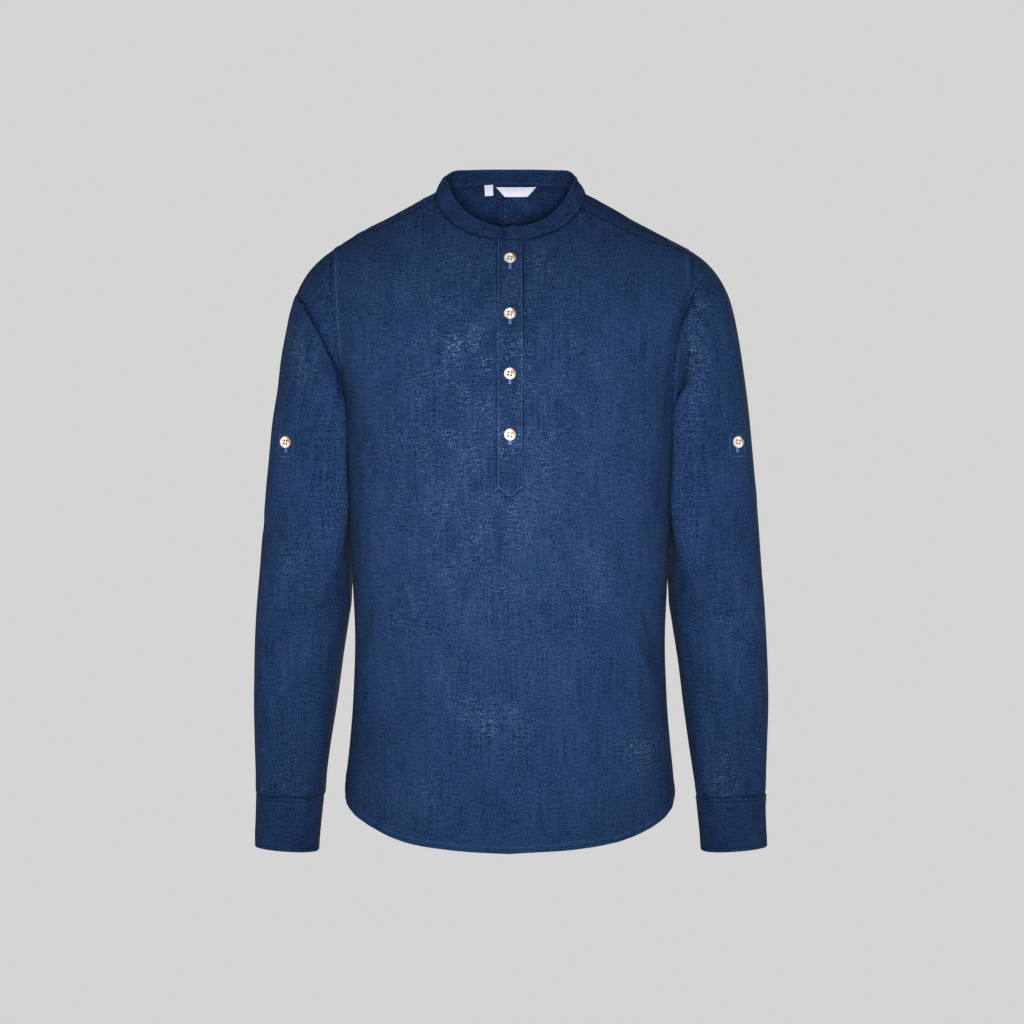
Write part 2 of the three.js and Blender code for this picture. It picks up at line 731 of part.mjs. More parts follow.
function keptClear(place) {
  const depth = place.y < 0 ? body.front(place.z) : body.back(place.z);
  const roundness = body.roundness(place.z);
  const forward = clamp(Math.abs(place.y) / depth, 0, 1);
  const wallX = body.halfWidth(place.z) * (1 - forward ** roundness) ** (1 / roundness);
  const least = wallX + SLEEVE_CLEARANCE;
  const softness = 2;
  const pushed = (place.x + least + Math.hypot(place.x - least, softness)) / 2;
  place.x = mix(place.x, pushed, besideBody(place));
  return place;
}

function sleevePoint(sign, row, angle) {
  const plain = plainSleeve(row, angle);
  const forward = Math.sin(angle);
  const height = foldHeight(forward > 0 ? "front" : "back", sign * plain.x, plain.z);
  const share = smooth(0, 0.35, Math.abs(forward)) * smooth(0, 1.5, row);
  return keptClear(plain.addScaledVector(outOfSleeve(plainSleeve, row, angle), share * height));
}

// Vertex normals of a tube of points, from its neighbours along and round.
function tubeNormals(points, firstNormals) {
  const columns = points[0].length;
  const step = (a, b) => b.clone().sub(a).normalize();
  return points.map((row, j) =>
    row.map((point, i) => {
      if (j === 0) return firstNormals[i];
      const along = step(points[j - 1][i], point);
      if (j + 1 < points.length) along.add(step(point, points[j + 1][i]));
      const before = row[(i + columns - 1) % columns];
      const after = row[(i + 1) % columns];
      return step(before, after).cross(along).normalize();
    }),
  );
}

// The sleeve's first two rings continue the body's cloth at the armhole and roll over at the armpit.
const ROLL = { reach: 2.4, rise: 2.4, plainRise: 0.2 };

function sleeve(side, sign) {
  const { front, over, back } = edges[side];
  const loop = [...over.slice(0, -1).reverse(), ...front.slice(1, -1), ...[...back].reverse()];
  const mirror = (vector) => flipped(sign, vector);
  const bodyAngle = (angle) => (sign > 0 ? angle : Math.PI - angle);
  const seam = loop.map(([angle, z]) => mirror(bodyPoint(bodyAngle(angle), z)));
  const seamNormals = loop.map(([angle, z]) => mirror(bodyNormal(bodyAngle(angle), z)));
  const count = loop.length;
  const onward = seam.map((_, i) => {
    const along = seam[(i + 1) % count].clone().sub(seam[(i + count - 1) % count]);
    return seamNormals[i].clone().cross(along).normalize();
  });
  const towardsArm = onward[0].x > 0 ? 1 : -1;
  const top = new THREE.Vector2(outerArm(ARMHOLE_TOP), ARMHOLE_TOP);
  const bottom = new THREE.Vector2(innerArm(ARMPIT), ARMPIT);
  const centre = top.clone().add(bottom).multiplyScalar(0.5);
  const half = top.clone().sub(bottom).multiplyScalar(0.5);
  const angles = seam.map((point) => {
    const flat = new THREE.Vector2(point.x, point.z).sub(centre);
    const across = flat.dot(half) / half.lengthSq();
    const forward = (ring.centreY(0) - point.y) / ring.halfDepth(0);
    return Math.atan2(forward, across);
  });
  const start = seam.map((point, i) => point.clone().addScaledVector(onward[i], towardsArm * SEAM_GAP));
  const rolled = seam.map((point, i) => {
    const rise = ROLL.plainRise + ROLL.rise * smooth(-110, ARMPIT, point.z);
    return point.clone().addScaledVector(onward[i], towardsArm * ROLL.reach).addScaledVector(seamNormals[i], rise);
  });
  const strays = rolled.map((point, i) => point.clone().sub(plainSleeve(0, angles[i])));
  const points = [start, rolled];
  for (let row = 1; row <= SLEEVE_END; row += 1) {
    const fade = clamp(1 - row / CAP_FADE, 0, 1) ** 2;
    points.push(angles.map((angle, i) => sleevePoint(sign, row, angle).addScaledVector(strays[i], fade)));
  }
  const normals = tubeNormals(points, seamNormals);
  const outward = points.map((row) => row.map(mirror));
  return wall(outward, normals.map((row) => row.map(mirror)), CLOTH, true);
}

// Cuff: a strip wound once round with its ends lapped at the back
function plainCuff(row, angle) {
  return ringPlace(row, angle, CUFF_ROUNDNESS);
}

function cuffPlace(sign, row, turn) {
  const lapped = smooth(CUFF.riseFrom, TURN, turn) * (DOUBLE_CLOTH + CUFF.lapGap);
  const angle = CUFF.lapStart + turn;
  const normal = outOfSleeve(plainCuff, row, angle);
  const point = plainCuff(row, angle).addScaledVector(normal, lapped);
  return { point: flipped(sign, point), normal: flipped(sign, normal) };
}

function cuff(sign) {
  const columns = CUFF.columns + CUFF.lapColumns;
  const length = ring.outerZ(SLEEVE_END) - ring.outerZ(SLEEVE_END + 1);
  const from = SLEEVE_END + SEAM_GAP / length;
  const rows = 4;
  const places = Array.from({ length: rows + 1 }, (_, j) =>
    Array.from({ length: columns + 1 }, (_, i) =>
      cuffPlace(sign, mix(from, SLEEVE_END + 1, j / rows), (TURN * i) / CUFF.columns),
    ),
  );
  return placedWall(places, DOUBLE_CLOTH);
}

// The pointed strip that closes the slit above each cuff
function sleevePlacket(sign) {
  const { width, tipRow, shoulderRow, angle: middle, armHalfWidth } = SLEEVE_PLACKET;
  const acrosses = [-0.5, -0.25, 0, 0.25, 0.5];
  const surface = (row, angle) => sleevePoint(sign, row, angle);
  const rows = [SLEEVE_END - 0.01, SLEEVE_END - 1, SLEEVE_END - 2, SLEEVE_END - 3, tipRow];
  const places = rows.map((rowInMiddle) =>
    acrosses.map((across) => {
      const row = rowInMiddle > tipRow ? rowInMiddle : mix(tipRow, shoulderRow, Math.abs(2 * across));
      const perimeter = TURN * Math.sqrt(ring.halfDepth(row) * armHalfWidth);
      const angle = middle + (TURN * across * width) / perimeter;
      const normal = outOfSleeve(surface, row, angle);
      const point = surface(row, angle).addScaledVector(normal, PLACKET_OUT);
      return { point: flipped(sign, point), normal: flipped(sign, normal) };
    }),
  );
  return placedWall(places, DOUBLE_CLOTH);
}

// Labels, hanging inside the back of the neck, where the yoke slopes away from them
function label({ topZ, endZ, topFrom, topTo, endFrom, endTo }) {
  const rows = 2;
  const columns = 4;
  const places = Array.from({ length: rows + 1 }, (_, j) =>
    Array.from({ length: columns + 1 }, (_, i) => {
      const down = j / rows;
      const x = mix(mix(topFrom, endFrom, down), mix(topTo, endTo, down), i / columns);
      const z = mix(topZ, endZ, down);
      const normal = bodyNormal(-frontAngle(x, z), z);
      const inside = CLOTH / 2 + LAID_GAP + LABEL_CLOTH + LABEL_HANG * down;
      return { point: bodyPoint(-frontAngle(x, z), z).addScaledVector(normal, -inside), normal };
    }),
  );
  return placedWall(places, LABEL_CLOTH);
}

// Buttons, with four holes and a raised rim, standing on Z = 0
function buttonGeometry() {
  const { radius, thickness, rimWidth, dish, holeRadius, holeOffset } = BUTTON;
  const profile = [
    [0, 0],
    [radius - 0.8, 0],
    [radius, 0.8],
    [radius, thickness - 0.6],
    [radius - 0.6, thickness],
    [radius - rimWidth, thickness],
    [radius - rimWidth - 0.7, thickness - dish],
    [0, thickness - dish],
  ];
  const disc = new THREE.LatheGeometry(profile.map(([r, h]) => new THREE.Vector2(r, h)), 16);
  disc.rotateX(Math.PI / 2);
  let solid = solidOf(disc);
  for (const x of [-holeOffset, holeOffset]) {
    for (const y of [-holeOffset, holeOffset]) {
      const drill = new THREE.CylinderGeometry(holeRadius, holeRadius, 3 * thickness, 6);
      drill.rotateX(Math.PI / 2);
      drill.translate(x, y, 0);
      solid = solid.subtract(solidOf(drill));
    }
  }
  return geometryOf(solid);
}

// Materials
const linen = () => new THREE.MeshStandardMaterial({ color: 0x2c4268, roughness: 0.92, metalness: 0 });
const shell = () => new THREE.MeshStandardMaterial({ color: 0xd9d2bf, roughness: 0.35, metalness: 0 });
const satin = () => new THREE.MeshStandardMaterial({ color: 0xd6d6e2, roughness: 0.7, metalness: 0 });

// Assembly
const shirt = new THREE.Group();

function add(name, geometry, material) {
  const mesh = new THREE.Mesh(geometry, material);
  mesh.name = name;
  shirt.add(mesh);
  return mesh;
}

function addButton(name, geometry, point, normal, out) {
  const mesh = add(name, geometry, shell());
  mesh.position.copy(point).addScaledVector(normal, out);
  mesh.quaternion.setFromUnitVectors(new THREE.Vector3(0, 0, 1), normal);
}

// Where the sleeve has this x and z in front, by a few Newton steps.
function onSleeve(sign, x, z) {
  let row = 6.5;
  let angle = 60 * DEGREE;
  const h = 0.01;
  for (let k = 0; k < 12; k += 1) {
    const here = sleevePoint(sign, row, angle);
    const byRow = sleevePoint(sign, row + h, angle).sub(here).divideScalar(h);
    const byAngle = sleevePoint(sign, row, angle + h).sub(here).divideScalar(h);
    const size = byRow.x * byAngle.z - byRow.z * byAngle.x;
    row += ((x - here.x) * byAngle.z - (z - here.z) * byAngle.x) / size;
    angle += ((z - here.z) * byRow.x - (x - here.x) * byRow.z) / size;
  }
  return [row, angle];
}

add("front", frontPanel(), linen());
add("back", backPanel(), linen());
add("yoke", yokePanel(), linen());
add("collar_band", collarBand(), linen());
add("placket_over", overPlacket(), linen());
add("placket_under", underPlacket(), linen());
add("neck_label", label(NECK_LABEL), satin());
add("size_label", label(SIZE_LABEL), satin());

const button = buttonGeometry();
FRONT_BUTTONS_Z.forEach((z, k) => {
  const normal = bodyNormal(Math.PI / 2, z);
  const out = PLACKET_OUT + DOUBLE_CLOTH / 2 + LAID_GAP;
  addButton(`button_front_${k + 1}`, button, bodyPoint(Math.PI / 2, z), normal, out);
});

for (const [side, sign] of [["left", 1], ["right", -1]]) {
  add(`sleeve_${side}`, sleeve(side, sign), linen());
  add(`cuff_${side}`, cuff(sign), linen());
  add(`sleeve_placket_${side}`, sleevePlacket(sign), linen());
  const surface = (row, angle) => sleevePoint(sign, row, angle);
  const place = onSleeve(sign, SLEEVE_BUTTONS[side].x, SLEEVE_BUTTONS[side].z);
  const normal = flipped(sign, outOfSleeve(surface, ...place));
  addButton(`button_sleeve_${side}`, button, flipped(sign, surface(...place)), normal, SLEEVE_BUTTONS[side].seat);
  const onCuff = cuffPlace(sign, SLEEVE_END + 0.5, TURN + (TURN * CUFF.lapColumns) / 2 / CUFF.columns);
  addButton(`button_cuff_${side}`, button, onCuff.point, onCuff.normal, DOUBLE_CLOTH / 2 + LAID_GAP);
}

export default shirt;
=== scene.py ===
# Band-collar popover shirt: the visual model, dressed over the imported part.
# Sizes are in millimetres, as in the part's source, and become metres where a mesh is made.
# The front faces -Y, +Z is up and +X is the wearer's left.

import math

import bpy
import numpy as np
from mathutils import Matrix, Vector


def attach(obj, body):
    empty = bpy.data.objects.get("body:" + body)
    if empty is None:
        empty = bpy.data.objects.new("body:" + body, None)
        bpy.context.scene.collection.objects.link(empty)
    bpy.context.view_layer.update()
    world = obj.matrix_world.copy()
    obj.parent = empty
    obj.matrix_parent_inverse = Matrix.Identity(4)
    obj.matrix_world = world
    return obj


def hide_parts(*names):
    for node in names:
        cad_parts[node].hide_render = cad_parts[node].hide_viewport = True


MM = 0.001

# Cloth and seams
CLOTH = 0.8
DOUBLE_CLOTH = 1.7
STRIP_CLOTH = 1.3
LABEL_CLOTH = 0.5
YOKE_SEAM_GAP = 1.4
FELLED_HEIGHTS = {"felled": 0.75, "pressed": 0.25}
FELLED_ROWS = (1.7, 6.3)
FELLED_WIDTH = 7
THREAD_SUNK = 0.02
SEAM_REACH = 24

# Painted shade: how much darker the yoke and the sleeves are painted than the front, where they face away
# from the light
YOKE_PAINTED_SHADE = 0.3
SLEEVE_PAINTED_SHADE = 0.12

SIDES = ("left", "right")

# Level sections through the body: z, half width, front, back, roundness
BODY = np.array([
    (24, 60, 1, 52, 3),
    (16, 69, 1.5, 60, 3),
    (8, 79, 2, 68, 3),
    (0, 83.3, 3, 73, 3),
    (-6, 95, 8, 75, 3),
    (-17, 115, 19.5, 79, 3),
    (-29, 137, 30.6, 83, 3),
    (-39, 157, 38.8, 86, 3),
    (-52, 180, 49, 90, 3),
    (-66, 203, 59, 94, 3),
    (-80, 219.5, 68, 97.5, 2.9),
    (-100, 235, 78.5, 102, 2.8),
    (-120, 243, 88, 105, 2.72),
    (-142, 243, 97, 108, 2.63),
    (-165, 232, 105, 110.5, 2.56),
    (-190, 215, 111, 112, 2.5),
    (-210, 201, 114, 112.5, 2.48),
    (-225, 192.5, 117, 112.5, 2.46),
    (-236, 189, 118, 112, 2.45),
    (-265, 186, 120, 111, 2.4),
    (-310, 182.5, 120, 108, 2.4),
    (-370, 179, 117, 102, 2.4),
    (-433, 175.5, 112, 97, 2.4),
    (-500, 172.8, 110, 95, 2.4),
    (-568, 175, 111, 97, 2.4),
    (-613, 178.5, 113, 100.5, 2.4),
    (-657, 182.5, 116, 104, 2.4),
    (-700, 184, 118, 107, 2.4),
    (-745, 184.5, 119, 109, 2.4),
])

# Neckline, armholes, yoke and hem
NECK_HALF_WIDTH = 83.3
NECK_FRONT_DROP = 58.5
NECK_BACK_RISE = 16
NECK_BACK_POWER = 0.8
ARMHOLE_TOP = -64.6
ARMPIT = -236
ARMHOLE = np.array([
    (-64.6, 201), (-80, 200.5), (-100, 200), (-120, 199), (-142, 197), (-165, 195), (-190, 193),
    (-210, 191), (-225, 189.7), (-236, 189),
])
FRONT_YOKE_SEAM = {
    "left": np.array([
        (79.4, -17.5), (100, -29), (120, -39), (140, -47.5), (160, -54.5), (180, -61), (200.8, -71.5),
    ]),
    "right": np.array([
        (82.9, -5), (100, -15.8), (120, -29.3), (140, -38.6), (160, -45.5), (180, -55), (200.9, -67.8),
    ]),
}
BACK_YOKE_SEAM = -86
SIDE_HEM = -658
TAIL_DROP = 8
HEM = np.array([
    (0, -658), (6, -672), (17, -683), (29, -695.6), (40, -705.5), (55, -716.3), (74, -723.5), (90, -726),
])

# Sleeve rings: row, outer z, inner z, half depth, centre y, skew
SLEEVE_RINGS = np.array([
    (0, -64.6, -236, 69, 1, 0),
    (1, -80, -240, 69.5, 1.5, 0.5),
    (2, -100, -246, 70, 2.5, 1.5),
    (3, -125, -254, 71, 4, 3),
    (4, -155, -264, 72, 6, 6),
    (5, -190, -277, 73, 8, 9),
    (6, -230, -295, 74, 10, 12),
    (7, -275, -320, 74, 12, 15),
    (8, -325, -355, 73, 12, 16),
    (9, -380, -400, 70, 11, 15),
    (10, -433, -445, 66, 10, 14),
    (11, -490, -497, 61, 6, 11),
    (12, -545, -550, 56, 1, 9),
    (13, -600, -604, 51, -4, 7),
    (14, -640, -644, 47.5, -8.5, 5.5),
    (15, -670.5, -674, 44.5, -12, 4),
    (16, -732, -738, 42.5, -14, 3),
])
SLEEVE_ROUNDNESS = 2.5
CUFF_ROUNDNESS = 2.2
ROW_LENGTH = 42
DEGREE_LENGTH = 0.95
SLEEVE_CLEARANCE = 1.6
SLEEVE_LEAN = {"left": 0.97, "right": 0.92}
SLEEVE_END = 15
CAP_FADE = 5
OUTER_ARM = np.array([
    (-64.6, 201), (-72.8, 212.2), (-86.2, 225.7), (-99.7, 235.2), (-119.8, 244.7), (-142, 250.9),
    (-187, 258.7), (-232, 264.3), (-276, 268.8), (-344, 275), (-411, 280), (-478, 285),
    (-523, 286.7), (-568, 287.3), (-612, 286.2), (-680, 284), (-732, 285.6),
])
INNER_ARM = np.array([
    (-236, 190), (-265, 188.6), (-310, 185.1), (-370, 181.6), (-433, 178.5), (-456, 179),
    (-478, 182), (-523, 188.7), (-568, 194.3), (-612, 200.5), (-657, 206.6), (-702, 211.1),
    (-738, 213.9),
])
ROLL_REACH = 2.4
ROLL_RISE = 2.4
ROLL_PLAIN_RISE = 0.2

# Collar band
BAND_HEIGHT = 20
BAND_LIFT = 1.1
BAND_FRONT_LEAN = math.radians(38)
BAND_SIDE_LEAN = math.radians(31)
BAND_BACK_LEAN = math.radians(32)
BAND_MEET_X = -9
BAND_END_GAP = 0.8
BAND_CORNER = 13
BAND_UNDERLAP = 9
BAND_TUCK = 2.2

# Plackets, buttons and labels
PLACKET_HALF = 13.4
PLACKET_CORNER_Z = -330.6
PLACKET_TIP_Z = -340
PLACKET_TIP_HALF = 1.4
SLIT_HALF = 12
SLIT_END = -318
PLACKET_CLOSED_Z = -301
BUTTON_RADIUS = 6.4
BUTTON_FACE = 1.98
HOLE_OUT = 1.65
BUTTON_TURN = math.radians(-10)
FRONT_BUTTONS_Z = [-81.2, -143.2, -208.4, -273.7]
FRONT_BUTTON_SEAT = 2.95
CUFF_BUTTON_SEAT = 1.4
SLEEVE_BUTTONS = {"left": (249.3, -280.4, 0.7), "right": (246.8, -280.4, 1.0)}
CUFF_LAP_START = math.radians(285)
CUFF_RISE_FROM = math.radians(300)
CUFF_LAP = 2.4
CUFF_TURNS = 30 / 28
CUFF_BUTTON_TURNS = 29 / 28
CUFF_LENGTH = 275
CUFF_HEIGHT = 62
CUFF_TUCK = 0.015
SLEEVE_PLACKET_WIDTH = 25
SLEEVE_PLACKET_LENGTH = 140
SLEEVE_PLACKET_TIP_ROW = 11.5
SLEEVE_PLACKET_SHOULDER_ROW = 11.75
SLEEVE_PLACKET_ANGLE = math.radians(299)
ARM_HALF_WIDTH = 37
LABEL_HANG = 3.5
NECK_LABEL = {"top": 14.4, "end": 5.8, "top_x": (-16.4, 30), "end_x": (-6, 20.2)}
SIZE_LABEL = {"top": 16.6, "end": 7, "top_x": (-29.4, -19.6), "end_x": (-29, -19.2)}

# The largest creases, shared with the solids, on each face: x0, z0, x1, z1, width, height
FOLDS = {
    "front": [
        (146, -470, 166, -523, 10, -4), (36, -563, 28, -725, 22, -5), (-134, -340, -134, -570, 20, -4),
        (-52, -170, -58, -310, 26, 2), (-235, -133, -195, -201, 8, -5), (215, -100, 188, -166, 8, -5),
        (226, -124, 208, -172, 11, 3), (232, -392, 266, -430, 9, -4), (-238, -400, -268, -372, 9, -4),
        (257, -616, 270, -668, 7, -3), (217, -571, 230, -613, 8, -3), (-250, -563, -254, -652, 8, -3),
    ],
    "back": [
        (62, -300, 54, -640, 24, -4), (-58, -330, -66, -600, 24, -4), (172, -200, 112, -268, 11, -4),
        (-174, -214, -104, -262, 11, -4), (150, -470, 168, -530, 12, -4), (214, -382, 262, -404, 9, -4),
        (-212, -396, -264, -388, 9, -4), (216, -430, 266, -436, 8, -3), (-218, -438, -266, -446, 8, -3),
    ],
}

CREASE_STRENGTH = 1.35
BAND_CREASE_STRENGTH = 2

# Smaller creases of the body, for this model alone: x0, z0, x1, z1, bend, width, height
CREASES = {
    "front": [
        (22, -118, 74, -205, 6, 9, 1.1), (-24, -128, -80, -190, -5, 8, 1.0),
        (60, -150, 66, -330, 5, 17, 1.8), (96, -180, 92, -420, -6, 14, -1.9),
        (118, -250, 108, -610, 8, 12, 1.5), (-34, -420, -26, -700, 7, 15, 1.6),
        (-84, -360, -96, -690, -7, 13, 1.6), (-108, -250, -112, -420, 4, 9, -1.4),
        (70, -520, 84, -700, -6, 13, 1.8), (8, -360, 4, -560, 5, 16, -1.3),
        (128, -600, 118, -690, 4, 9, -1.6), (-128, -600, -118, -695, -4, 10, -1.7),
        (-58, -640, -62, -715, 2, 8, -1.2), (150, -205, 96, -262, 9, 8, 1.5),
        (158, -222, 112, -300, 8, 7, -1.3), (-152, -210, -104, -258, -8, 8, 1.5),
        (-160, -232, -118, -312, -8, 7, -1.4), (172, -90, 128, -148, -7, 8, -1.3),
        (-174, -96, -132, -162, 8, 8, -1.4), (186, -120, 150, -188, -6, 6, 1.2),
        (-188, -118, -154, -182, 6, 6, 1.2), (140, -455, 160, -508, 3, 5, 2.3),
        (132, -500, 154, -548, -4, 6, 1.2), (-150, -450, -164, -520, 4, 7, -1.4),
        (-18, -120, -26, -158, 2, 4, 1.0), (-17, -132, -33, -150, 2, 3.5, 0.8),
        (-18, -146, -34, -142, -2, 3, 0.7), (17, -330, 36, -372, 4, 6, -0.9),
        (-15, -338, -30, -392, -4, 6, -0.9), (40, -60, 62, -92, 3, 6, -0.8),
        (-40, -62, -64, -96, -3, 6, -0.8),
    ],
    "back": [
        (20, -110, 24, -330, 4, 20, 1.8), (-26, -110, -22, -280, -5, 18, 1.6),
        (96, -150, 88, -420, 7, 15, 1.9), (-98, -140, -92, -430, -6, 16, 1.8),
        (128, -330, 116, -640, 6, 13, 1.7), (-130, -340, -120, -660, -7, 13, 1.6),
        (8, -420, 2, -690, 6, 18, -1.9), (34, -560, 28, -720, -4, 12, 1.6),
        (-34, -580, -40, -715, 4, 12, 1.5), (84, -600, 90, -700, 4, 10, -1.5),
        (-88, -620, -94, -705, -4, 10, -1.5), (178, -232, 122, -310, 9, 8, 1.6),
        (-178, -240, -118, -306, -9, 8, 1.6), (166, -170, 120, -205, 6, 7, 1.3),
        (-168, -172, -116, -210, -6, 7, 1.3), (150, -420, 120, -470, 7, 9, -1.5),
        (-154, -430, -112, -474, -7, 9, -1.5), (60, -96, 62, -140, 2, 5, 1.1),
        (-62, -96, -60, -136, -2, 5, 1.1), (70, -97, 74, -130, 2, 4, -0.9),
        (-72, -97, -76, -132, -2, 4, -0.9),
    ],
}

# Smaller creases of each sleeve: row and degrees at both ends, bend, width, height
ARM_CREASES = {
    "left": [
        (3.2, 60, 6.0, 100, 6, 9, -1.6), (3.6, 30, 7.6, 52, 7, 10, 1.5), (5.0, 130, 6.6, 70, -6, 8, 1.8),
        (6.3, 140, 7.4, 84, 5, 7, -1.6), (8.2, 20, 9.6, 92, 6, 8, 1.9), (8.8, 40, 10.2, 118, -7, 7, -2.0),
        (9.7, 60, 10.3, 150, 5, 7, 1.7), (10.4, 30, 12.4, 66, 6, 9, 1.5),
        (11.2, 96, 13.2, 116, -5, 8, -1.6), (12.4, 40, 14.6, 62, 4, 6, -1.5),
        (12.9, 82, 14.8, 92, -3, 5, 1.4), (13.2, 120, 14.8, 128, 3, 5, -1.4),
        (8.6, 200, 9.6, 268, 6, 9, -2.2), (9.3, 196, 10.0, 262, -5, 8, 2.0),
        (10.0, 204, 10.4, 280, 5, 7, -1.8), (5.4, 220, 7.2, 290, 8, 10, 1.6),
        (3.2, 330, 7.0, 318, -7, 12, -1.6), (11.2, 220, 13.4, 240, 4, 8, 1.5),
        (12.6, 262, 14.7, 270, 3, 5, -1.4), (12.8, 325, 14.8, 332, -3, 6, -1.4),
    ],
    "right": [
        (3.0, 64, 5.6, 108, 6, 9, -1.7), (3.4, 26, 7.9, 46, -6, 10, 1.6), (5.2, 134, 7.0, 76, -6, 8, 1.7),
        (6.6, 138, 7.7, 88, 6, 7, -1.5), (8.0, 24, 9.2, 88, -6, 8, 1.7), (8.9, 34, 9.9, 112, 6, 7, -1.9),
        (9.9, 66, 10.6, 148, -5, 8, 1.6), (10.8, 28, 13.0, 54, 6, 9, 1.6),
        (11.0, 90, 13.0, 108, 5, 8, -1.5), (12.2, 46, 14.5, 70, -4, 6, -1.6),
        (12.7, 94, 14.8, 100, 3, 5, 1.5), (13.4, 128, 14.8, 132, -3, 5, -1.3),
        (8.4, 206, 9.4, 272, -6, 9, -2.1), (9.1, 198, 9.9, 258, 5, 8, 1.9),
        (9.9, 208, 10.2, 276, -5, 7, -1.8), (5.0, 226, 7.0, 296, -8, 10, 1.6),
        (3.4, 326, 7.4, 316, 7, 12, -1.5), (11.4, 214, 13.2, 236, -4, 8, 1.6),
        (12.5, 258, 14.7, 268, -3, 5, -1.5), (12.7, 322, 14.8, 330, 3, 6, -1.4),
    ],
}

# The folds where each sleeve laps over the front above the armpit: x and z along the fold's edge
LAPS = [
    np.array([
        (211, -99), (203, -119), (194, -139), (186, -158), (181.5, -180), (179.8, -203), (178.6, -262),
    ]),
    np.array([(-245, -112), (-233, -128), (-216, -158), (-201, -188), (-194, -206), (-190, -250)]),
]
LAP_RISE = 2.8
LAP_DROP = 2.4

TURN = 2 * math.pi


# Numbers and curves

def mix(a, b, share):
    return a + (b - a) * share


def smooth(start, end, value):
    share = np.clip((value - start) / (end - start), 0, 1)
    return share * share * (3 - 2 * share)


def bell(value, middle, width):
    return np.exp(-(((value - middle) / width) ** 2))


def unit(vectors):
    return vectors / np.maximum(np.linalg.norm(vectors, axis=-1, keepdims=True), 1e-12)


def stack(x, y, z):
    return np.stack(np.broadcast_arrays(x, y, z), axis=-1).astype(float)


def through(table, column):
    """A smooth curve through a table's rows that never swings past them."""
    order = np.argsort(table[:, 0])
    x = table[order, 0].astype(float)
    y = table[order, column].astype(float)
    rise = np.diff(y) / np.diff(x)
    before, after = rise[:-1], rise[1:]
    keeps_on = before * after > 0
    total = np.where(keeps_on, before + after, 1)
    slope = np.concatenate([rise[:1], np.where(keeps_on, 2 * before * after / total, 0), rise[-1:]])

    def at(value):
        inside = np.clip(value, x[0], x[-1])
        k = np.clip(np.searchsorted(x, inside, side="left") - 1, 0, len(x) - 2)
        span = x[k + 1] - x[k]
        q = (inside - x[k]) / span
        ends = mix(y[k], y[k + 1], q * q * (3 - 2 * q))
        return ends + span * (slope[k] * q * (1 - q) ** 2 - slope[k + 1] * q * q * (1 - q))

    return at


def rumple(u, v, seed):
    """Smooth noise from -1 to 1 over a plane, about one bump a unit."""
    cell_u, cell_v = np.floor(u), np.floor(v)
    share_u, share_v = smooth(0, 1, u - cell_u), smooth(0, 1, v - cell_v)

    def corner(a, b):
        value = np.sin((cell_u + a) * 127.1 + (cell_v + b) * 311.7 + seed * 74.7) * 43758.5453
        return 2 * (value - np.floor(value)) - 1

    low = mix(corner(0, 0), corner(1, 0), share_u)
    high = mix(corner(0, 1), corner(1, 1), share_u)
    return mix(low, high, share_v)


def superellipse(angle, roundness):
    across, forward = np.cos(angle), np.sin(angle)
    size = (np.abs(across) ** roundness + np.abs(forward) ** roundness) ** (1 / roundness)
    return across / size, forward / size


half_width = through(BODY, 1)
front_depth = through(BODY, 2)
back_depth = through(BODY, 3)
body_roundness = through(BODY, 4)
armhole_x = through(ARMHOLE, 1)
hem_z = through(HEM, 1)
outer_arm = through(OUTER_ARM, 1)
inner_arm = through(INNER_ARM, 1)
ring_outer_z = through(SLEEVE_RINGS, 1)
ring_inner_z = through(SLEEVE_RINGS, 2)
ring_half_depth = through(SLEEVE_RINGS, 3)
ring_centre_y = through(SLEEVE_RINGS, 4)
ring_skew = through(SLEEVE_RINGS, 5)


# Creases

def line_height(x, z, start, end, bend, width, height, soft_ends):
    """Height of one soft trough or ridge along a bent line."""
    dx, dz = end[0] - start[0], end[1] - start[1]
    length = math.hypot(dx, dz)
    along = ((x - start[0]) * dx + (z - start[1]) * dz) / length**2
    share = np.clip(along, 0, 1)
    sideways = ((x - start[0]) * dz - (z - start[1]) * dx) / length - bend * 4 * share * (1 - share)
    beyond = (along - share) * length
    profile = np.exp(-(sideways**2 + beyond**2) / width**2)
    if soft_ends:
        profile = profile * (0.25 + 0.75 * smooth(0, 0.35, share) * smooth(1, 0.6, share))
    return height * profile


def fold_height(is_front, x, z):
    total = np.zeros(np.broadcast(x, z).shape)
    for face, rows in FOLDS.items():
        here = is_front == (face == "front")
        for x0, z0, x1, z1, width, height in rows:
            total += here * line_height(x, z, (x0, z0), (x1, z1), 0, width, height, False)
    return total


def crease_lines(is_front, x, z):
    total = np.zeros(np.broadcast(x, z).shape)
    for face, rows in CREASES.items():
        here = is_front == (face == "front")
        for x0, z0, x1, z1, bend, width, height in rows:
            total += here * line_height(x, z, (x0, z0), (x1, z1), bend, width, height, True)
    return total


def beside_lap(x, z, line):
    """The distance from a lap's edge, more than 0 on the sleeve's side, and a fade at its ends."""
    distance, side, along = np.full(x.shape, 1e9), np.ones(x.shape), np.zeros(x.shape)
    count = len(line) - 1
    for k in range(count):
        step = line[k + 1] - line[k]
        away_x, away_z = x - line[k, 0], z - line[k, 1]
        share = np.clip((away_x * step[0] + away_z * step[1]) / (step @ step), 0, 1)
        gap = np.hypot(away_x - share * step[0], away_z - share * step[1])
        closer = gap < distance
        outward = np.sign(line[k, 0]) * np.sign(away_z * step[0] - away_x * step[1])
        side = np.where(closer, outward, side)
        along = np.where(closer, (k + share) / count, along)
        distance = np.where(closer, gap, distance)
    return distance * side, smooth(0, 0.16, along) * smooth(1, 0.9, along)


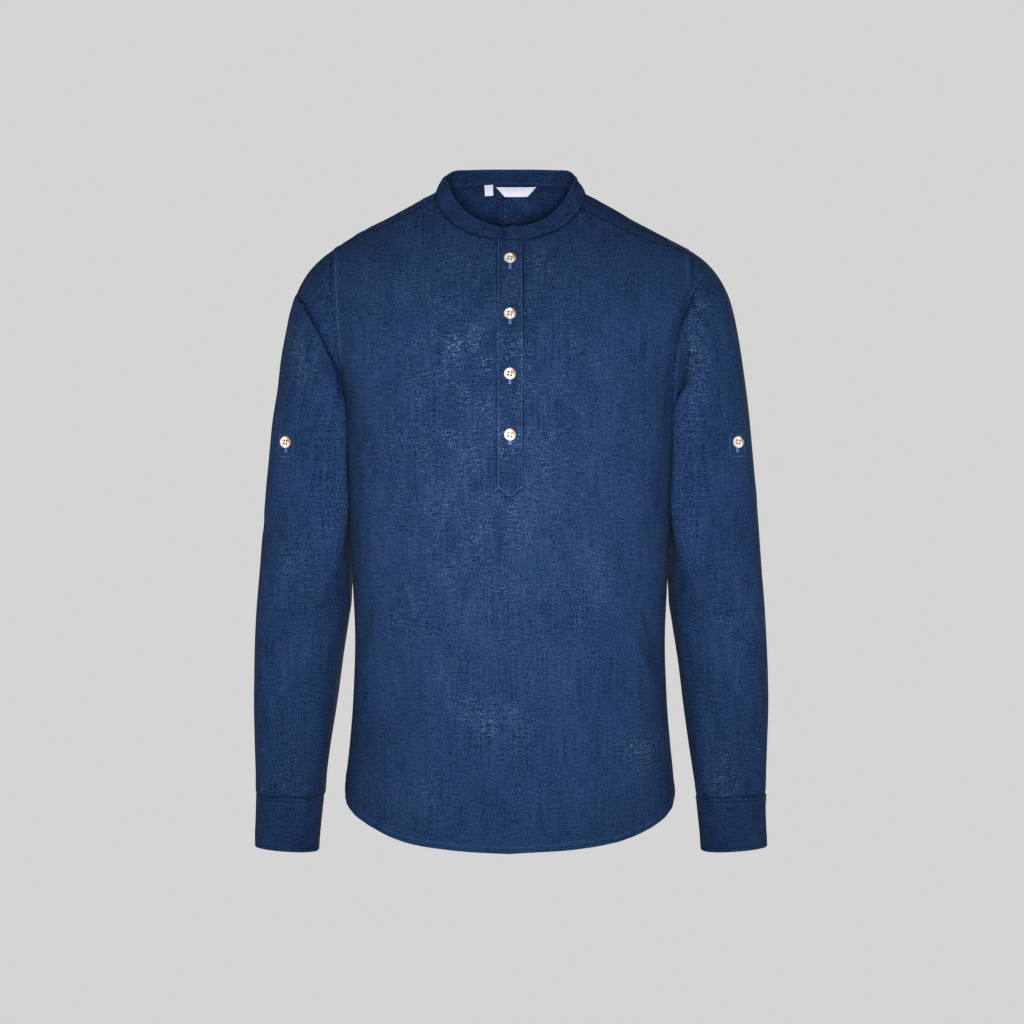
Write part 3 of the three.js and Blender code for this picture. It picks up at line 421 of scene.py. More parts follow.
def lap_height(x, z):
    total = np.zeros(np.broadcast(x, z).shape)
    for line in LAPS:
        distance, fade = beside_lap(x, z, line)
        high = LAP_RISE * np.exp(-np.maximum(distance, 0) / 17)
        low = -LAP_DROP * np.exp(np.minimum(distance, 0) / 11)
        total += fade * mix(low, high, smooth(-1.2, 1.0, distance))
    return total


def lap_shade(points):
    """The dark line under each lap's edge, in front. It fades out over the shoulder."""
    total = np.zeros(points.shape[:-1])
    for line in LAPS:
        distance, fade = beside_lap(points[..., 0], points[..., 2], line)
        hollow = smooth(-14, -1, distance) * (distance < 0)
        total = np.maximum(total, fade * (1.7 * bell(distance, -0.5, 1.3) + 0.3 * hollow))
    return total * smooth(0, -14, points[..., 1])


def under_lap(points):
    """The part of each armhole's seam in front that the sleeve's fold hides."""
    x, y, z = points[..., 0], points[..., 1], points[..., 2]
    left = smooth(-96, -114, z) * (x > 0)
    right = smooth(-186, -202, z) * (x < 0)
    return (left + right) * (y < 0)


def crease_height(is_front, x, z):
    total = CREASE_STRENGTH * crease_lines(is_front, x, z)
    uneven = 1 + 0.35 * rumple(x / 31, z / 37, 3)
    ripple = 0.55 * rumple(x / 24 + z / 90, z / 66, 11) + 0.22 * rumple(x / 9, z / 15, 12)
    return total * uneven + ripple + is_front * lap_height(x, z)


# Body surface. The angle runs from the wearer's left side (0) by the front (90 degrees) to the right side
# (180) and by the back (270) to the left side again.

def body_plain(angle, z):
    across, forward = superellipse(angle, body_roundness(z))
    depth = np.where(forward > 0, front_depth(z), back_depth(z))
    return stack(across * half_width(z), -forward * depth, z)


def normals_of(surface, u, v, du, dv):
    along_u = surface(u + du, v) - surface(u - du, v)
    along_v = surface(u, v + dv) - surface(u, v - dv)
    return unit(-np.cross(along_u, along_v))


def body_out(surface, angle, z):
    return normals_of(surface, angle, z, 0.004, 0.5)


def body_point(angle, z, creased=False):
    plain = body_plain(angle, z)
    forward = np.sin(angle)
    height = fold_height(forward > 0, plain[..., 0], z)
    if creased:
        height = height + crease_height(forward > 0, plain[..., 0], z)
    height = height * smooth(0, 0.35, np.abs(forward))
    return plain + body_out(body_plain, angle, z) * height[..., None]


def body_normal(angle, z):
    return body_out(body_point, angle, z)


def front_angle(x, z):
    roundness = body_roundness(z)
    across = np.clip(x / half_width(z), -1, 1)
    forward = (1 - np.abs(across) ** roundness) ** (1 / roundness)
    return np.arctan2(forward, across)


# Edges of the panels, as two rows of numbers: angle and z

def spread(curve, shares):
    """The curve's places at these shares of its real length."""
    fine = np.linspace(0, 1, 1200)
    points = body_point(*curve(fine))
    lengths = np.concatenate([[0], np.cumsum(np.linalg.norm(np.diff(points, axis=0), axis=1))])
    return np.array(curve(np.interp(np.asarray(shares) * lengths[-1], lengths, fine)))


def crowded(steps, length, edges="both"):
    """Shares along an edge this long, with extra ones in the last few millimetres."""
    close = np.array([0, 0.45, 1.0, 1.6, 2.4, 3.4, 4.5, 5.5, 6.3, 7.1, 8.2, 10]) / length
    start = close if edges in ("both", "start") else np.array([0])
    end = 1 - close[::-1] if edges in ("both", "end") else np.array([1])
    middle = np.linspace(start[-1], end[0], steps)[1:-1]
    return np.concatenate([start, middle, end])


def raised(edge, distance):
    """The edge moved upwards across the body surface by a real distance."""
    angle, z = edge
    here = body_point(angle, z)
    along = np.gradient(here, axis=0)
    across = unit(np.cross(body_normal(angle, z), along))
    across *= np.where(across[:, 2:] > 0, distance, -distance)
    by_angle = (body_point(angle + 0.004, z) - here) / 0.004
    by_z = (body_point(angle, z + 0.5) - here) / 0.5
    shared = np.sum(by_angle * by_z, axis=1)
    angle_size, z_size = np.sum(by_angle**2, axis=1), np.sum(by_z**2, axis=1)
    size = angle_size * z_size - shared**2
    on_angle, on_z = np.sum(across * by_angle, axis=1), np.sum(across * by_z, axis=1)
    return np.array([
        angle + (on_angle * z_size - on_z * shared) / size,
        z + (on_z * angle_size - on_angle * shared) / size,
    ])


def joined(*edges):
    return np.concatenate([edges[0], *[edge[:, 1:] for edge in edges[1:]]], axis=1)


def turned(edge, turn):
    return np.array([edge[0] + turn, edge[1]])


def mirrored(edge):
    return np.array([math.pi - edge[0], edge[1]])


def neck_place(turn):
    """Round the neck: -90 degrees is the centre front, 0 the wearer's left, 90 the centre back."""
    height = np.sin(turn)
    behind = NECK_BACK_RISE * np.maximum(height, 0) ** NECK_BACK_POWER
    z = np.where(height > 0, behind, NECK_FRONT_DROP * height)
    angle = front_angle(NECK_HALF_WIDTH * np.cos(turn), np.minimum(z, 0))
    before = np.where((np.cos(turn) > 0) & (turn < 0), angle + TURN, angle)
    return np.where(height > 0, TURN - turn, before), z


ARMHOLE_MIDDLE = (ARMHOLE_TOP + ARMPIT) / 2
ARMHOLE_HALF = (ARMHOLE_TOP - ARMPIT) / 2


def armhole_place(turn):
    """Round the left armhole: 0 is the shoulder, 180 degrees the armpit by the front, -180 by the back."""
    z = ARMHOLE_MIDDLE + ARMHOLE_HALF * np.cos(turn)
    angle = front_angle(armhole_x(z), z)
    return np.where(turn < 0, -angle, angle), z


def armhole_turn(z):
    return math.acos((z - ARMHOLE_MIDDLE) / ARMHOLE_HALF)


SEAM_SHARES = np.concatenate([np.linspace(0, 0.72, 26)[:-1], 0.72 + 0.28 * crowded(15, 38, "end")])
YOKE_SHARES = crowded(40, 135)
NECK_SHARES = np.linspace(0, 1, 66)
ARMHOLE_SHARES = crowded(52, 185, "start")
OVER_SHARES = np.linspace(0, 1, 40)
SIDE_SHARES = crowded(122, 420, "end")
BACK_SHARES = crowded(146, 470)


def side_edges(side):
    """The edges on one side of the shirt, worked out as if it were the wearer's left."""
    rows = FRONT_YOKE_SEAM[side]
    seam_z = through(rows, 1)
    shoulder_z = rows[-1, 1]
    front_turn = armhole_turn(shoulder_z)
    shoulder_x = float(armhole_x(shoulder_z))
    back_turn = armhole_turn(BACK_YOKE_SEAM)

    def seam(q):
        x = mix(rows[0, 0], shoulder_x, q)
        z = seam_z(x)
        return front_angle(x, z), z

    curves = {
        "seam": seam,
        "front": lambda q: armhole_place(mix(front_turn, math.pi, q)),
        "over": lambda q: armhole_place(mix(front_turn, -back_turn, q)),
        "back": lambda q: armhole_place(mix(-back_turn, -math.pi, q)),
        "side": lambda q: (0 * q, mix(ARMPIT, SIDE_HEM, q)),
    }
    return {"neck_turn": math.asin(rows[0, 1] / NECK_FRONT_DROP), "curves": curves}


EDGES = {side: side_edges(side) for side in SIDES}
EDGE_FADE = 3.5


def fill(top, bottom, first, last, u, v):
    """A grid between four edges, at shares across and down. The outer edges' own curves fade inwards."""
    ruled = mix(top[:, None, :], bottom[:, None, :], v[None, :, None])
    first_curve = first - mix(top[:, :1], bottom[:, :1], v[None, :])
    last_curve = last - mix(top[:, -1:], bottom[:, -1:], v[None, :])
    return ruled + first_curve[:, :, None] * (1 - u) ** EDGE_FADE + last_curve[:, :, None] * u**EDGE_FADE


def lengthwise(edge):
    """Shares of an edge's real length at its places."""
    steps = np.linalg.norm(np.diff(body_point(*edge), axis=0), axis=1)
    lengths = np.concatenate([[0], np.cumsum(steps)])
    return lengths / lengths[-1]


# Places on the cloth in millimetres, across and along the warp, which carry the weave

def around_body():
    z = np.linspace(BODY[:, 0].min(), BODY[:, 0].max(), 70)
    angle = np.linspace(-0.5, TURN + 0.5, 700)
    points = body_plain(angle[None, :], z[:, None])
    steps = np.linalg.norm(np.diff(points, axis=1), axis=2)
    lengths = np.concatenate([np.zeros((len(z), 1)), np.cumsum(steps, axis=1)], axis=1)
    middle = np.argmin(np.abs(angle - math.pi / 2))
    return angle, z, lengths - lengths[:, middle : middle + 1]


AROUND = around_body()


def body_cloth(angle, z):
    """Millimetres round the body from the centre front, and the height, as places on the flat cloth."""
    angles, heights, lengths = AROUND
    column = (np.asarray(angle) - angles[0]) / (angles[1] - angles[0])
    row = (np.clip(z, heights[0], heights[-1]) - heights[0]) / (heights[1] - heights[0])
    i = np.clip(column.astype(int), 0, len(angles) - 2)
    j = np.clip(row.astype(int), 0, len(heights) - 2)
    low = mix(lengths[j, i], lengths[j, i + 1], column - i)
    high = mix(lengths[j + 1, i], lengths[j + 1, i + 1], column - i)
    return np.stack([mix(low, high, row - j), z], axis=-1)


def angle_at(around, z, guess):
    """The angle at which the body has this place round it."""
    angle = guess
    for _ in range(12):
        miss = around - body_cloth(angle, z)[..., 0]
        slope = (body_cloth(angle + 0.01, z)[..., 0] - body_cloth(angle - 0.01, z)[..., 0]) / 0.02
        angle = angle + np.clip(miss / np.maximum(slope, 20), -0.2, 0.2)
    return angle


def fill_flat(top, bottom, first, last):
    """Fills a panel between its edges on the flat cloth, where its threads run straight."""
    flat_edges = [body_cloth(*edge).T for edge in (top, bottom, first, last)]
    around, z = fill(*flat_edges, lengthwise(top), lengthwise(first))
    guess = fill(top, bottom, first, last, lengthwise(top), lengthwise(first))[0]
    return angle_at(around, z, guess), z


def yoke_cloth(points):
    x, y, z = points[..., 0], points[..., 1], points[..., 2]
    beyond = np.maximum(np.abs(x) - NECK_HALF_WIDTH, 0)
    ridge = -0.55 * beyond
    across = np.sign(x) * (np.minimum(np.abs(x), NECK_HALF_WIDTH) + 1.14 * beyond)
    down = np.sign(y) * (np.abs(y) + np.maximum(ridge - z, 0))
    return np.stack([across, -down], axis=-1)


# Sleeve surface, for the wearer's left. The angle is 0 on the outer arm, 90 degrees in front, 180 inside.

def ring_place(row, angle, roundness):
    outer_z, inner_z = ring_outer_z(row), ring_inner_z(row)
    across, forward = superellipse(angle, roundness)
    share = (1 + across) / 2
    x = mix(inner_arm(inner_z), outer_arm(outer_z), share)
    y = ring_centre_y(row) - ring_half_depth(row) * forward - ring_skew(row) * across
    return stack(x, y, mix(inner_z, outer_z, share))


def sleeve_plain(row, angle):
    return ring_place(row, angle, SLEEVE_ROUNDNESS)


def sleeve_out(surface, row, angle):
    return normals_of(surface, row, angle, 0.02, 0.01)


def beside_body(y, z):
    """How far out the sleeve has to be to lie just clear of the body's side."""
    depth = np.where(y < 0, front_depth(z), back_depth(z))
    roundness = body_roundness(z)
    forward = np.clip(np.abs(y) / depth, 0, 1)
    return half_width(z) * (1 - forward**roundness) ** (1 / roundness) + SLEEVE_CLEARANCE


def kept_clear(points):
    x, y, z = points[..., 0], points[..., 1], points[..., 2]
    level = (z - ARMHOLE_MIDDLE) / ARMHOLE_HALF
    reach = np.hypot(y / ring_half_depth(0), level)
    beside = smooth(0.93, 1, reach) * smooth(-ARMHOLE_HALF / 2, -ARMHOLE_HALF, z - ARMHOLE_MIDDLE)
    least = beside_body(y, z)
    pushed = (x + least + np.hypot(x - least, 1.2)) / 2
    return stack(mix(x, pushed, beside), y, z)


def leaned(side, points):
    """Hangs the inside of the sleeve against the body's side, down to where the armpit's fullness ends."""
    x, y, z = points[..., 0], points[..., 1], points[..., 2]
    least = beside_body(y, z)
    level = smooth(-196, -250, z) * smooth(-450, -345, z)
    facing = smooth(54, 20, x - least) * smooth(62, 30, y)
    beyond = np.maximum(x - least, 0)
    return stack(x - SLEEVE_LEAN[side] * level * facing * beyond, y, z)


def arm_crease_height(side, row, angle):
    degrees = np.degrees(angle) % 360
    total = np.zeros(np.broadcast(row, degrees).shape)
    along, around = row * ROW_LENGTH, degrees * DEGREE_LENGTH
    for row0, degrees0, row1, degrees1, bend, width, height in ARM_CREASES[side]:
        start = degrees0 * DEGREE_LENGTH, row0 * ROW_LENGTH
        end = degrees1 * DEGREE_LENGTH, row1 * ROW_LENGTH
        total += line_height(around, along, start, end, bend, width, height, True)
    seed = 21 if side == "left" else 31
    uneven = 1 + 0.3 * rumple(around / 30, along / 40, seed)
    turn = np.asarray(angle)
    ripple = 0.5 * rumple(2 * np.cos(turn) + 9, 2 * np.sin(turn) + along / 60, seed + 1)
    return total * uneven + ripple * smooth(0.5, 2.5, row)


def sleeve_point(side, row, angle, creased=False):
    sign = 1 if side == "left" else -1
    plain = sleeve_plain(row, angle)
    forward = np.sin(angle)
    share = smooth(0, 0.35, np.abs(forward)) * smooth(0, 1.5, row)
    height = share * fold_height(forward > 0, sign * plain[..., 0], plain[..., 2])
    if not creased:
        return kept_clear(plain + sleeve_out(sleeve_plain, row, angle) * height[..., None])
    height = height + arm_crease_height(side, row, angle)
    near_seam = smooth(0, 0.35, np.abs(forward)) * smooth(0.02, 0.3, row)
    x, z = sign * plain[..., 0], plain[..., 2]
    height = height + near_seam * (crease_lines(forward > 0, x, z) + (forward > 0) * lap_height(x, z))
    return kept_clear(leaned(side, plain + sleeve_out(sleeve_plain, row, angle) * height[..., None]))


def flipped(side, vectors):
    return vectors * np.array([1 if side == "left" else -1, 1, 1])


# Seams: the distance of places from a line, and how far along the line they are

def near(points, line):
    flat = points.reshape(-1, 3)
    lengths = np.concatenate([[0], np.cumsum(np.linalg.norm(np.diff(line, axis=0), axis=1))])
    distance = np.full(len(flat), 1e9)
    along = np.zeros(len(flat))
    start, end = line[:-1], line[1:]
    step = end - start
    size = np.maximum(np.sum(step**2, axis=1), 1e-9)
    low, high = line.min(axis=0) - SEAM_REACH, line.max(axis=0) + SEAM_REACH
    close = np.flatnonzero(np.all((flat > low) & (flat < high), axis=1))
    for chunk in np.array_split(close, max(1, len(close) // 4000)):
        away = flat[chunk][:, None, :] - start[None]
        share = np.clip(np.sum(away * step[None], axis=2) / size, 0, 1)
        gaps = np.linalg.norm(away - share[..., None] * step[None], axis=2)
        best = np.argmin(gaps, axis=1)
        picked = np.arange(len(chunk)), best
        distance[chunk] = gaps[picked]
        along[chunk] = lengths[best] + share[picked] * np.sqrt(size[best])
    return distance.reshape(points.shape[:-1]), along.reshape(points.shape[:-1])


def felled(distance, along, seed, height):
    """The side of a flat-felled seam that holds the turnings: a raised band with small puckers."""
    band = height * smooth(FELLED_WIDTH + 1.6, FELLED_WIDTH - 0.6, distance)
    edge = -(height + 0.35) * smooth(1.4, 0, distance)
    return band + edge + puckers(distance, along, seed, 0.5, FELLED_WIDTH)


def tucked(distance, along, seed):
    """The side of a seam that goes under the other."""
    return -0.9 * smooth(2.8, 0, distance) + puckers(distance, along, seed, 0.45, 5)


def puckers(distance, along, seed, height, width):
    wave = rumple(along / 5.2, 0 * along + seed, seed) + 0.6 * rumple(along / 11, 0 * along + 3.5, seed + 1)
    reach = smooth(width + 9, width - 2, distance) * smooth(-0.5, 1.5, distance)
    return height * wave * reach


# Meshes

def grid_normals(points, outward, tube=False):
    """Normals of a grid of points, on the side of the given ones."""
    if tube:
        around = np.roll(points, -1, axis=1) - np.roll(points, 1, axis=1)
    else:
        around = np.gradient(points, axis=1)
    along = np.gradient(points, axis=0)
    normals = unit(np.cross(around, along))
    facing = np.sum(normals * outward, axis=-1, keepdims=True)
    return np.where(facing < 0, -normals, normals)


def settled(points):
    """Small uneven shifts: the shirt narrower on its right, and the cuffs and the hem's sides higher."""
    x, y, z = points[:, 0], points[:, 1], points[:, 2]
    narrow = 4.6 * smooth(-155, -212, x) * smooth(-265, -215, z)
    narrow = narrow + 2.2 * smooth(-215, -284, x) * smooth(-215, -265, z)
    shoulder = -2.8 * bell(x, 160, 40) * smooth(-130, -50, z)
    cuff_ends = 4.2 * smooth(195, 205, np.abs(x)) * smooth(-690, -734, z)
    hem_sides = (4.6 * smooth(-95, -175, x) + 2.0 * smooth(115, 170, x)) * smooth(-615, -680, z)
    hem_sides = hem_sides * smooth(200, 190, np.abs(x))
    return np.stack([x + narrow, y, z + shoulder + cuff_ends + hem_sides], axis=1)


def mesh_object(name, vertices, faces, material, uv=None, masks=None):
    mesh = bpy.data.meshes.new(name)
    places = settled(vertices) * MM
    mesh.from_pydata(places.tolist(), [], faces.tolist() if hasattr(faces, "tolist") else faces)
    mesh.materials.append(material)
    mesh.polygons.foreach_set("use_smooth", np.ones(len(mesh.polygons), bool))
    if uv is not None:
        layer = mesh.uv_layers.new(name="cloth")
        layer.data.foreach_set("uv", (uv * MM).astype(np.float32).ravel())
    for label, values in (masks or {}).items():
        attribute = mesh.attributes.new(label, "FLOAT", "POINT")
        attribute.data.foreach_set("value", values.astype(np.float32).ravel())
    mesh.update()
    piece = bpy.data.objects.new(name, mesh)
    bpy.context.scene.collection.objects.link(piece)
    return piece


def shell(name, points, normals, thickness, cloth, material, tube=False, keep=None, masks=None):
    """A thin closed shell about a grid of points. cloth gives each place on the flat cloth."""
    rows, columns = points.shape[:2]
    spans = columns if tube else columns - 1
    half = np.broadcast_to(np.asarray(thickness, float) / 2, (rows, columns))[..., None]
    layers = points + normals * half, points - normals * half
    vertices = np.concatenate([layer.reshape(-1, 3) for layer in layers])
    kept = np.ones((rows - 1, spans), bool) if keep is None else keep
    j, i = np.nonzero(kept)

    def corner(dj, di, layer):
        vertex = (j + dj) * columns + (i + di) % columns + layer * rows * columns
        place = (j + dj) * (spans + 1) + i + di
        return vertex, place

    a, b, c, d = corner(0, 0, 0), corner(0, 1, 0), corner(1, 1, 0), corner(1, 0, 0)
    a2, b2, c2, d2 = corner(0, 0, 1), corner(0, 1, 1), corner(1, 1, 1), corner(1, 0, 1)
    quads = [(a, b, c, d, None), (d2, c2, b2, a2, None)]
    padded = np.zeros((rows + 1, spans + 2), bool)
    padded[1:-1, 1:-1] = kept
    if tube:
        padded[1:-1, 0], padded[1:-1, -1] = kept[:, -1], kept[:, 0]
    quads.append((b, a, a2, b2, ~padded[j, i + 1]))
    quads.append((d, c, c2, d2, ~padded[j + 2, i + 1]))
    quads.append((a, d, d2, a2, ~padded[j + 1, i]))
    quads.append((c, b, b2, c2, ~padded[j + 1, i + 2]))
    faces, places = [], []
    for *corners, open_edge in quads:
        chosen = slice(None) if open_edge is None else open_edge
        faces.append(np.stack([vertex[chosen] for vertex, _ in corners], axis=1))
        places.append(np.stack([place[chosen] for _, place in corners], axis=1))
    faces, places = np.concatenate(faces), np.concatenate(places)
    first = vertices[faces[: len(j)]]
    facing = np.cross(first[:, 1] - first[:, 0], first[:, 3] - first[:, 0])
    outward = normals.reshape(-1, 3)[faces[: len(j), 0]]
    if np.sum(facing * outward) < 0:
        faces, places = faces[:, ::-1], places[:, ::-1]
    uv = cloth.reshape(-1, 2)[places].reshape(-1, 2)
    used, compact = np.unique(faces, return_inverse=True)
    doubled = {label: np.concatenate([v.ravel(), v.ravel()])[used] for label, v in (masks or {}).items()}
    return mesh_object(name, vertices[used], compact.reshape(faces.shape), material, uv, doubled)


def stitch_shape(sides=5):
    """One stitch along X, about a unit long, thick in the middle."""
    rings = [(-0.5, 0.0), (-0.38, 0.75), (0, 1), (0.38, 0.75), (0.5, 0.0)]
    vertices, faces = [(-0.5, 0, 0)], []
    for x, size in rings[1:-1]:
        for k in range(sides):
            turn = TURN * k / sides
            vertices.append((x, size * math.cos(turn), size * math.sin(turn)))
    vertices.append((0.5, 0, 0))
    last = len(vertices) - 1
    for k in range(sides):
        after = (k + 1) % sides
        faces.append((0, 1 + after, 1 + k))
        for ring in (0, 1):
            low, high = 1 + ring * sides, 1 + (ring + 1) * sides
            faces.append((low + k, low + after, high + after))
            faces.append((low + k, high + after, high + k))
        faces.append((last, 1 + 2 * sides + k, 1 + 2 * sides + after))
    return np.array(vertices), np.array(faces)


STITCH_VERTICES, STITCH_FACES = stitch_shape()


class Sewing:
    """Gathers stitches of one thread, to be joined in one mesh."""

    def __init__(self):
        self.vertices = []
        self.faces = []
        self.count = 0

    def add(self, centres, along, outward, length, radius):
        """Stitches at these centres, each lying along its own direction."""
        along = unit(along)
        across = unit(np.cross(outward, along))
        up = np.cross(along, across)
        local = STITCH_VERTICES
        length = np.broadcast_to(length, (len(centres),))[:, None, None]
        shape = (
            centres[:, None, :]
            + along[:, None, :] * local[None, :, :1] * length
            + across[:, None, :] * local[None, :, 1:2] * radius
            + up[:, None, :] * local[None, :, 2:] * radius * 0.8
        )
        offsets = (np.arange(len(centres)) * len(local) + self.count)[:, None, None]
        self.vertices.append(shape.reshape(-1, 3))
        self.faces.append((STITCH_FACES[None] + offsets).reshape(-1, 3))
        self.count += len(centres) * len(local)

    def run(self, line, normals, pitch=2.5, share=0.74, radius=0.24, start=1.0, seed=1):
        """A row of stitches along a line on the cloth."""
        steps = np.linalg.norm(np.diff(line, axis=0), axis=1)
        lengths = np.concatenate([[0], np.cumsum(steps)])
        at = np.arange(start, lengths[-1] - 0.6 * pitch, pitch)
        if len(at) == 0:
            return

        def place(values, where):
            return np.stack([np.interp(where, lengths, values[:, k]) for k in range(3)], axis=1)

        wander = 0.12 * rumple(at / 3.1, 0 * at + seed, seed)
        centres = place(line, at)
        ahead = place(line, at + 0.4 * pitch) - place(line, at - 0.4 * pitch)
        outward = unit(place(normals, at))
        across = unit(np.cross(outward, ahead))
        centres = centres - outward * THREAD_SUNK + across * wander[:, None]
        self.add(centres, ahead + across * wander[:, None] * 0.6, outward, share * pitch, radius)

    def finish(self, name, material):
        return mesh_object(name, np.concatenate(self.vertices), np.concatenate(self.faces), material)


def inset(points, normals, distance, edge):
    """The line on a grid at this distance from one of its edges, with its normals."""
    if edge == "bottom":
        points, normals = points[::-1], normals[::-1]
    if edge == "last":
        points, normals = points[:, ::-1], normals[:, ::-1]
    if edge in ("first", "last"):
        points, normals = points.swapaxes(0, 1), normals.swapaxes(0, 1)
    steps = np.linalg.norm(np.diff(points[:24], axis=0), axis=2)
    lengths = np.concatenate([np.zeros((1, points.shape[1])), np.cumsum(steps, axis=0)])
    j = np.clip(np.sum(lengths <= distance, axis=0) - 1, 0, len(lengths) - 2)
    i = np.arange(points.shape[1])
    share = ((distance - lengths[j, i]) / np.maximum(lengths[j + 1, i] - lengths[j, i], 1e-6))[:, None]
    line = mix(points[j, i], points[j + 1, i], share)
    return line, unit(mix(normals[j, i], normals[j + 1, i], share))


def strip_thickness(distance, thick, radius):
    """Thickness of a doubled piece that rounds off at its edges."""
    inside = 1 - np.clip(distance / radius, 0, 1)
    return thick * np.sqrt(np.maximum(1 - inside**2, 0.03))


# Front, back and yoke

def seam_lines(side):
    """The seam lines round one side of the body, as points on the cloth."""
    curves = EDGES[side]["curves"]
    even = np.linspace(0, 1, 160)
    lines = {name: spread(curves[name], even) for name in ("seam", "front", "over", "back", "side")}
    lines["armhole_front"] = lines.pop("front")
    lines["armhole_back"] = lines.pop("back")
    if side == "right":
        lines = {name: mirrored(line) for name, line in lines.items()}
    return {name: body_point(*line, creased=True) for name, line in lines.items()}


LINES = {side: seam_lines(side) for side in SIDES}
NECK_LINE = body_point(*neck_place(np.linspace(0, TURN, 300)), creased=True)


def front_hem(q):
    return mix(math.pi, 0, q), hem_z(90 - 180 * np.abs(q - 0.5))


def back_hem(q):
    from_side = 90 - 180 * np.abs(q - 0.5)
    return mix(math.pi, TURN, q), hem_z(from_side) - TAIL_DROP * np.sin(np.radians(from_side))


def back_seam(q):
    corner = EDGES["left"]["curves"]["back"](np.array([0.0]))[0][0] + TURN
    return mix(3 * math.pi - corner, corner, q), BACK_YOKE_SEAM + 0 * q


def hem_relief(points, curve, seed):
    """The turned-up hem: its own distance, a slight wave, and the groove of its stitches."""
    distance, along = near(points, body_point(*spread(curve, np.linspace(0, 1, 260))))
    wave = 0.9 * rumple(along / 17, 0 * along + 2, seed)
    wave = wave + 0.45 * rumple(along / 6.5, 0 * along + 4, seed + 1)
    relief = wave * smooth(20, 2, distance) - 0.3 * bell(distance, 6, 0.9)
    return relief, distance


def body_shell(name, places, seams, hem, material, keep_out=None):
    """A panel of the body, with its seams and hem worked in, and painted shade under the laps, along its
    seams and the neck, and by the placket.
    """
    angle, z = places
    points = body_point(angle, z, creased=True)
    outward = body_normal(angle, z)
    offset = np.zeros(angle.shape)
    worn = np.zeros(angle.shape)
    # Painted shade under the laps and along the seams
    painted_shade = lap_shade(points)
    shown = 1 - under_lap(points)
    for line, kind, seed in seams:
        distance, along = near(points, line)
        painted_shade = np.maximum(painted_shade, shown * smooth(2.4, 0.4, distance))
        if kind == "tucked":
            offset += tucked(distance, along, seed)
        else:
            offset += shown * felled(distance, along, seed, FELLED_HEIGHTS[kind])
        worn = np.maximum(worn, shown * seam_wear(distance, kind))
    thickness = np.full(angle.shape, CLOTH)
    if hem is not None:
        relief, distance = hem_relief(points, hem, 41)
        offset += relief
        thickness += CLOTH * smooth(8, 7, distance)
        worn = np.maximum(worn, smooth(1.6, 0, distance) + 0.5 * bell(distance, 7.4, 0.8))
    points = points + outward * offset[..., None]
    keep = None
    if keep_out is not None:
        points, keep = keep_out(points)
    normals = grid_normals(points, outward)
    # Painted shade along the neck seam, and beside and below the front's placket
    neck, _ = near(points, NECK_LINE)
    painted_shade = np.maximum(painted_shade, smooth(3.0, 0.6, neck) * (1 if name == "front_cloth" else 0.3))
    if name == "front_cloth":
        x, z = points[..., 0], points[..., 2]
        beside = smooth(2.2, 0.3, np.abs(np.abs(x) - PLACKET_HALF - 0.4)) * (z > PLACKET_CORNER_Z)
        below = smooth(3.2, 0.5, np.abs(placket_end(x) - z - 0.8)) * (np.abs(x) < PLACKET_HALF)
        painted_shade = np.maximum(painted_shade, np.maximum(0.9 * beside, 1.2 * below))
    # The yoke is painted darker all over: painted shade
    depth = YOKE_PAINTED_SHADE if hem is None else 0
    masks = {"sheer": sheer_patches(points), "worn": worn * np.maximum(1 - painted_shade, 0), "painted_shade": painted_shade + depth}
    cloth = yoke_cloth(points) if hem is None else body_cloth(angle, z)
    piece = shell(name, points, normals, thickness, cloth, material, keep=keep, masks=masks)
    return piece, points + normals * thickness[..., None] / 2, normals


def seam_wear(distance, kind):
    """Where folded edges and ridges are rubbed paler."""
    edge = smooth(2.0, 0.4, distance)
    ridge = 0.35 * bell(distance, 6.6, 0.9)
    return 0 * distance if kind == "tucked" else np.maximum(edge, ridge)


# Thin places in the cloth, where the linen's shader paints pale dots of light coming through: x, z, half
# width, half height, strength
THIN_FRONT = [
    (-30, -270, 130, 240, 0.4), (-62, -165, 34, 30, 1.1), (-44, -200, 30, 28, 1.1),
    (32, -88, 22, 26, 0.55), (-60, -206, 26, 20, 0.5), (-16, -580, 44, 34, 0.6),
    (146, -618, 30, 24, 0.6), (64, -190, 26, 40, 0.4), (-110, -470, 34, 60, 0.35),
    (92, -420, 30, 50, 0.3), (-86, -660, 40, 20, 0.35),
]
THIN_BACK = [
    (8, -30, 20, 36, 0.5), (-70, -170, 40, 50, 0.6), (84, -240, 36, 60, 0.55),
    (10, -430, 50, 60, 0.5), (-96, -560, 34, 50, 0.45), (110, -620, 40, 30, 0.5),
]
THIN_SLEEVES = [
    (-236, -190, 20, 30, 0.55), (206, -172, 12, 56, 0.8), (200, -240, 10, 40, 0.5),
    (236, -646, 22, 30, 0.55), (-232, -420, 24, 40, 0.4), (244, -470, 22, 40, 0.4),
    (-252, -640, 20, 24, 0.35),
]


def sheer_patches(points):
    x, y, z = points[..., 0], points[..., 1], points[..., 2]
    total = np.zeros(x.shape)
    for rows, shown in ((THIN_FRONT, y < 20), (THIN_BACK, y >= 20), (THIN_SLEEVES, np.abs(x) > 170)):
        for x0, z0, wide, high, strength in rows:
            patch = bell(x, x0, wide) * bell(z, z0, high)
            total = np.maximum(total, shown * strength * patch)
    return total


def slit(points):
    """Leaves the slit behind the placket open, with its cut edges straight."""
    x, z = points[..., 0], points[..., 2]
    inside = (np.abs(x) < SLIT_HALF) & (z > SLIT_END)
    to_side, to_end = SLIT_HALF - np.abs(x), z - SLIT_END
    sideways = inside & (to_side <= to_end)
    downwards = inside & ~sideways
    gone = inside[:-1, :-1] & inside[1:, :-1] & inside[:-1, 1:] & inside[1:, 1:]
    moved = points.copy()
    moved[..., 0] = np.where(sideways, np.sign(x) * SLIT_HALF, x)
    moved[..., 2] = np.where(downwards, SLIT_END, z)
    return moved, ~gone


